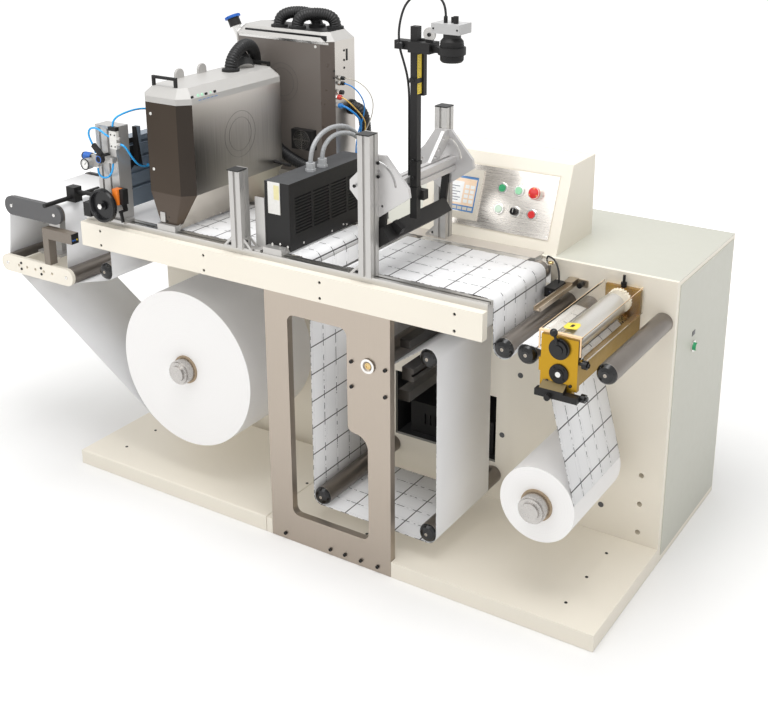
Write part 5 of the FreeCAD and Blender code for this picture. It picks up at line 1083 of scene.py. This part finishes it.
# Die station
# Milled gold anodised plates hold a pale upper cylinder and a steel lower one, geared together. The guard
# over them is a bent clear sheet with a warning tag.
gold = ground_steel("gold_anodised_plate", (0.43, 0.25, 0.024), (60, 60, 60), 0.36, 0.06)
dress(gold, "die_frame")
olive = moulded("olive_block", (0.17, 0.12, 0.035), 0.5)
# The frame's right-facing faces get a darker copy of the gold: painted shade.
gold_painted_shade = ground_steel("gold_anodised_painted_shade", (0.26, 0.16, 0.022), (60, 60, 60), 0.36, 0.06)
zone("die_frame", gold_painted_shade, (780, -404, 640), (806, 0, 815), (1, 0, 0))
zone("die_frame", black_gloss, (720, -440, 740), (790, -404.2, 850))
zone("die_frame", black_satin, (725, -425, 690.5), (782, -404.2, 748))
zone("die_frame", black_satin, (712, -430, 671), (778, -403.2, 690))
zone("die_frame", olive, (712, -428, 671), (778, -403.2, 690), (0, -0.5, 0.85))
zone("die_frame", black_satin, (695, -440, 650), (815, -404.2, 672.4))
zone("die_frame", black_satin, (724, -437, 650), (750, -413, 672))
zone("die_frame", black_gloss, (803.2, -410, 640), (830, -380, 765))
zone("die_frame", black_satin, (740, -25, 811), (770, 0, 850))
hub_x, hub_z, hub_ring = 755, 716, 18
hub_angles = np.radians([45, 135, 225, 315])
hub_screws = [(hub_x + hub_ring * math.cos(a), -409, hub_z + hub_ring * math.sin(a)) for a in hub_angles]
put("die_hub_screws", *lathe(screw(3, 1.6), hub_screws), screw_black)
put("die_hub_centre", *lathe([(0, 0), (7, 0), (7, 0.8), (0, 0.8)], (hub_x, -411, hub_z)), dial_white)
put("die_plate_screws", *lathe(screw(4.3, 2.6), [(724, -404, 690), (786, -404, 690)]), screw_black)
knob_tops = lathe([(0, 0), (6, 0), (6, 3), (0, 3)], [(827, -397, z) for z in (751, 663)], to_right, 6)
put("die_knob_tops", *knob_tops, black_gloss)
upper_white = ground_steel("die_upper_chrome", (0.74, 0.745, 0.755), (4, 600, 4), 0.3, 0.04)
lower_steel = ground_steel("die_lower_steel", (0.58, 0.57, 0.55), (4, 600, 4), 0.24, 0.05)
dress(upper_white, "die_upper_cylinder")
dress(lower_steel, "die_lower_cylinder")
zone("die_upper_cylinder", cream, (700, -56, 740), (800, -20, 830))
zone("die_lower_cylinder", brass, (700, -56, 660), (800, -20, 760))
guard, guard_tree, guard_shader = finish("clear_guard", (0.97, 0.95, 0.90), 0.05)
guard_shader.inputs["Transmission Weight"].default_value = 1.0
guard_shader.inputs["IOR"].default_value = 1.12
guard_tint = mixed(guard_tree, grain(guard_tree, 8.0), (0.96, 0.94, 0.89), (0.99, 0.97, 0.94))
coat(guard_tree, guard_shader, guard_tint)
dress(guard, "die_guard")
peach = moulded("guard_edge_peach", (0.84, 0.60, 0.36), 0.35)
guard_edges = [(697, 809, -402.2, -393, 816, 820.3), (697, 701, -402.2, -400, 770, 816),
               (805, 809, -402.2, -400, 770, 816), (697, 698.2, -400, -8, 819.6, 820.4),
               (807.6, 809, -400, -8, 819.6, 820.4)]
put("die_guard_edges", *blocks(*guard_edges), peach)
tag_yellow = moulded("warning_tag_yellow", (0.86, 0.66, 0.05), 0.4)
tag = [(741, -359), (741, -331), (769, -322), (776, -335), (777, -361), (749, -368)]
put("die_guard_tag", *pillar(tag, 820.1, 820.7, axis=2), tag_yellow)
tag_mark = [(755, -352), (763, -352), (763, -336), (755, -336)]
put("die_guard_tag_mark", *pillar(tag_mark, 820.7, 820.9, axis=2), black_flat)


# Console
# The stainless panel is screwed to the housing's slope. It holds a screen in a cream bezel and six push
# buttons with silver barrels.
slope_rise, slope_run, slope_foot = 238, 91, (17, 850)
lean = math.atan2(slope_rise, slope_run)


def leaning(shape):
    """Moves a shape drawn in mm as (x, v, w), with w out of the panel, onto the console's sloping front."""
    points, faces = shape
    x, v, w = (np.asarray(points, float) * 1000 + half_plate).T
    y = slope_foot[0] + v * math.cos(lean) - w * math.sin(lean)
    z = slope_foot[1] + v * math.sin(lean) + w * math.cos(lean)
    return in_frame(np.stack([x, y, z], 1)), faces


bezel_cream = moulded("bezel_cream", (0.62, 0.58, 0.50), 0.4)
screen_blue = moulded("screen_frame_blue", (0.10, 0.25, 0.52), 0.15)
screen_peach = moulded("screen_peach", (0.86, 0.66, 0.48), 0.15)
screen_white = moulded("screen_white", (0.85, 0.86, 0.86), 0.15)
screen_dark = moulded("screen_text_grey", (0.16, 0.18, 0.22), 0.2)
bezel = joined(blocks((142, 155, 54, 200, 6.9, 7.6), (267, 280, 54, 200, 6.9, 7.6),
                      (155, 267, 54, 74, 6.9, 7.6), (155, 267, 178, 200, 6.9, 7.6)))
put("console_bezel", *leaning(bezel), bezel_cream)
put("screen_frame", *leaning(blocks((156, 266, 75, 177, 5.5, 5.9))), screen_blue)
put("screen_area", *leaning(blocks((160, 262, 92, 170, 5.9, 6.1))), screen_peach)
put("screen_window", *leaning(blocks((166, 222, 98, 160, 6.1, 6.3))), screen_white)
line_lengths = (40, 46, 34, 44, 28, 40)
text_lines = [(170, 170 + w, v, v + 2.2, 6.3, 6.4) for v, w in zip(range(104, 150, 8), line_lengths)]
put("screen_lines", *leaning(blocks(*text_lines)), screen_dark)
keys = [(x, x + 13, v, v + 10, 6.1, 6.4) for v in range(100, 150, 14) for x in (228, 245)]
put("screen_keys", *leaning(blocks(*keys)), screen_white)
bottom_keys = [(x, x + 14, 79, 88, 5.9, 6.3) for x in range(162, 250, 17)]
put("screen_bottom_keys", *leaning(blocks(*bottom_keys)), bezel_cream)
columns, rows = (345, 397, 449), (160, 100)
barrel = [(0, 0), (15.8, 0), (15.8, 4.6), (14.2, 5.6), (12, 5.6), (11.6, 4)]
spots = [(x, v, 2.2) for v in rows for x in columns]
put("button_barrels", *leaning(lathe(barrel, spots, upwards, 36)), bright)
green = moulded("button_green", (0.03, 0.34, 0.14), 0.3)
green_lit = moulded("button_lit_green", (0.30, 0.66, 0.40), 0.3)
red = moulded("button_red", (0.62, 0.02, 0.02), 0.25)
pale_lit = moulded("button_lit_pale", (0.62, 0.78, 0.64), 0.3)
flush_head = [(11.2, 0), (11.2, 3), (10, 4.2), (0, 4.4)]
for x, v, colour in ((345, 160, green), (397, 160, green_lit), (345, 100, pale_lit), (449, 100, red)):
    put("button_%d_%d" % (x, v), *leaning(lathe(flush_head, (x, v, 5.4), upwards, 32)), colour)
dome = [(10, 0), (10, 9), (17.6, 11), (18, 15), (16.4, 18.4), (11, 20.2), (0, 20.8)]
stop_x, stop_v, dot_ring = 449, 160, 12
put("button_stop", *leaning(lathe(dome, (stop_x, stop_v, 2.4), upwards, 36)), red)
dot_angles = np.radians([90, 210, 330])
dots = [(stop_x + dot_ring * math.cos(a), stop_v + dot_ring * math.sin(a), 22.0) for a in dot_angles]
dot = [(0, 0), (1.8, 0), (1.6, 0.6), (0, 0.7)]
put("button_stop_dots", *leaning(lathe(dot, dots, upwards, 12)), scale_yellow)
knob = [(10.4, 3), (10.4, 19), (9.4, 20.4), (0, 20.4)]
put("button_selector", *leaning(lathe(knob, (397, 100, 1.2), upwards, 32)), black_gloss)
put("button_selector_pointer", *leaning(blocks((395.8, 398.2, 97, 109.6, 21.4, 22.4))), bright)
panel_corners = [(x, v, 2) for x in (118, 502) for v in (46, 208)]
put("panel_screws", *leaning(lathe(screw(3, 1.4), panel_corners, upwards)), bright)


# Cabinet window and end
# The cabinet's faces behind its window are painted near black and the window's cut edges a darker grey, both
# painted shade. A green push button is screwed into the end cover, and quarter-turn latches hold the rear
# covers.
window_painted_shade = moulded("cabinet_inside_painted_shade", (0.02, 0.02, 0.021), 0.6)
# The plate's cut edges round the window get a darker grey copy of the cream: painted shade in the recess.
lip_painted_shade = powder_coat("window_lip_grey", (0.34, 0.33, 0.30), 0.45)
zone("cabinet_body", window_painted_shade, (20, 13, 160), (390, 211, 395))
zone("main_plate", lip_painted_shade, (20, 0.4, 160), (390, 11.6, 395))
dress(black_satin, "drive_unit")
side_head = [(11.3, 3), (11.3, 11.6), (9.8, 12.8), (0, 13)]
put("side_button", *lathe(side_head, (903, 155, 614), to_right, 32), green)
put("side_button_ring", *lathe(hoop(11.6, 16.2, 3.6), (902.6, 155, 614), to_right, 32), bright)
put("side_label", *blocks((902, 902.8, 143, 167, 646, 660)), guide_grey, bevel=0.0002)
first_latch, door_pitch = -480, 445
latches = [(first_latch + door_pitch * i, 480, z) for i in range(4) for z in (180, 700)]
latch_head = [(0, 0), (14, 0), (14, 2.5), (12, 4), (0, 4)]
put("door_latches", *lathe(latch_head, latches, (0, 1, 0)), black_satin)
plate_caps = [(401, -0.2, 267), (723, -0.2, 137), (455, -0.2, 474)]
put("plate_plugs", *lathe([(0, 0), (8.4, 0), (8.4, 0.8), (7.4, 1.4), (0, 1.4)], plate_caps), guide_grey)


# Floor
# A wide pale sheet just under the press, outside the object. It holds the press's shadow near it and glows
# to white further out, by its distance from a rectangle under the press.
floor_mesh = bpy.data.meshes.new("floor")
reach, floor_level = 14.0, -0.001
floor_corners = [(-reach, -reach), (reach, -reach), (reach, reach), (-reach, reach)]
floor_mesh.from_pydata([(x, y, floor_level) for x, y in floor_corners], [], [(0, 1, 2, 3)])
floor = bpy.data.objects.new("floor", floor_mesh)
bpy.context.scene.collection.objects.link(floor)
floor_paint, floor_tree, floor_shader = finish("pale_floor", (0.86, 0.86, 0.86), 0.9)
half_base, glow_slope, most_glow = (0.9, 0.5), 0.32, 0.6
past_base = []
for place, half in zip(place_of(floor_tree), half_base):
    beyond = sums(floor_tree, "SUBTRACT", sums(floor_tree, "ABSOLUTE", place), half)
    past_base.append(sums(floor_tree, "MAXIMUM", beyond, 0.0))
distance = hypotenuse(floor_tree, *past_base)
glow = sums(floor_tree, "MINIMUM", sums(floor_tree, "MULTIPLY", distance, glow_slope), most_glow)
floor_tree.links.new(glow, floor_shader.inputs["Emission Strength"])
floor_shader.inputs["Emission Color"].default_value = (1, 1, 1, 1)
floor_mesh.materials.append(floor_paint)
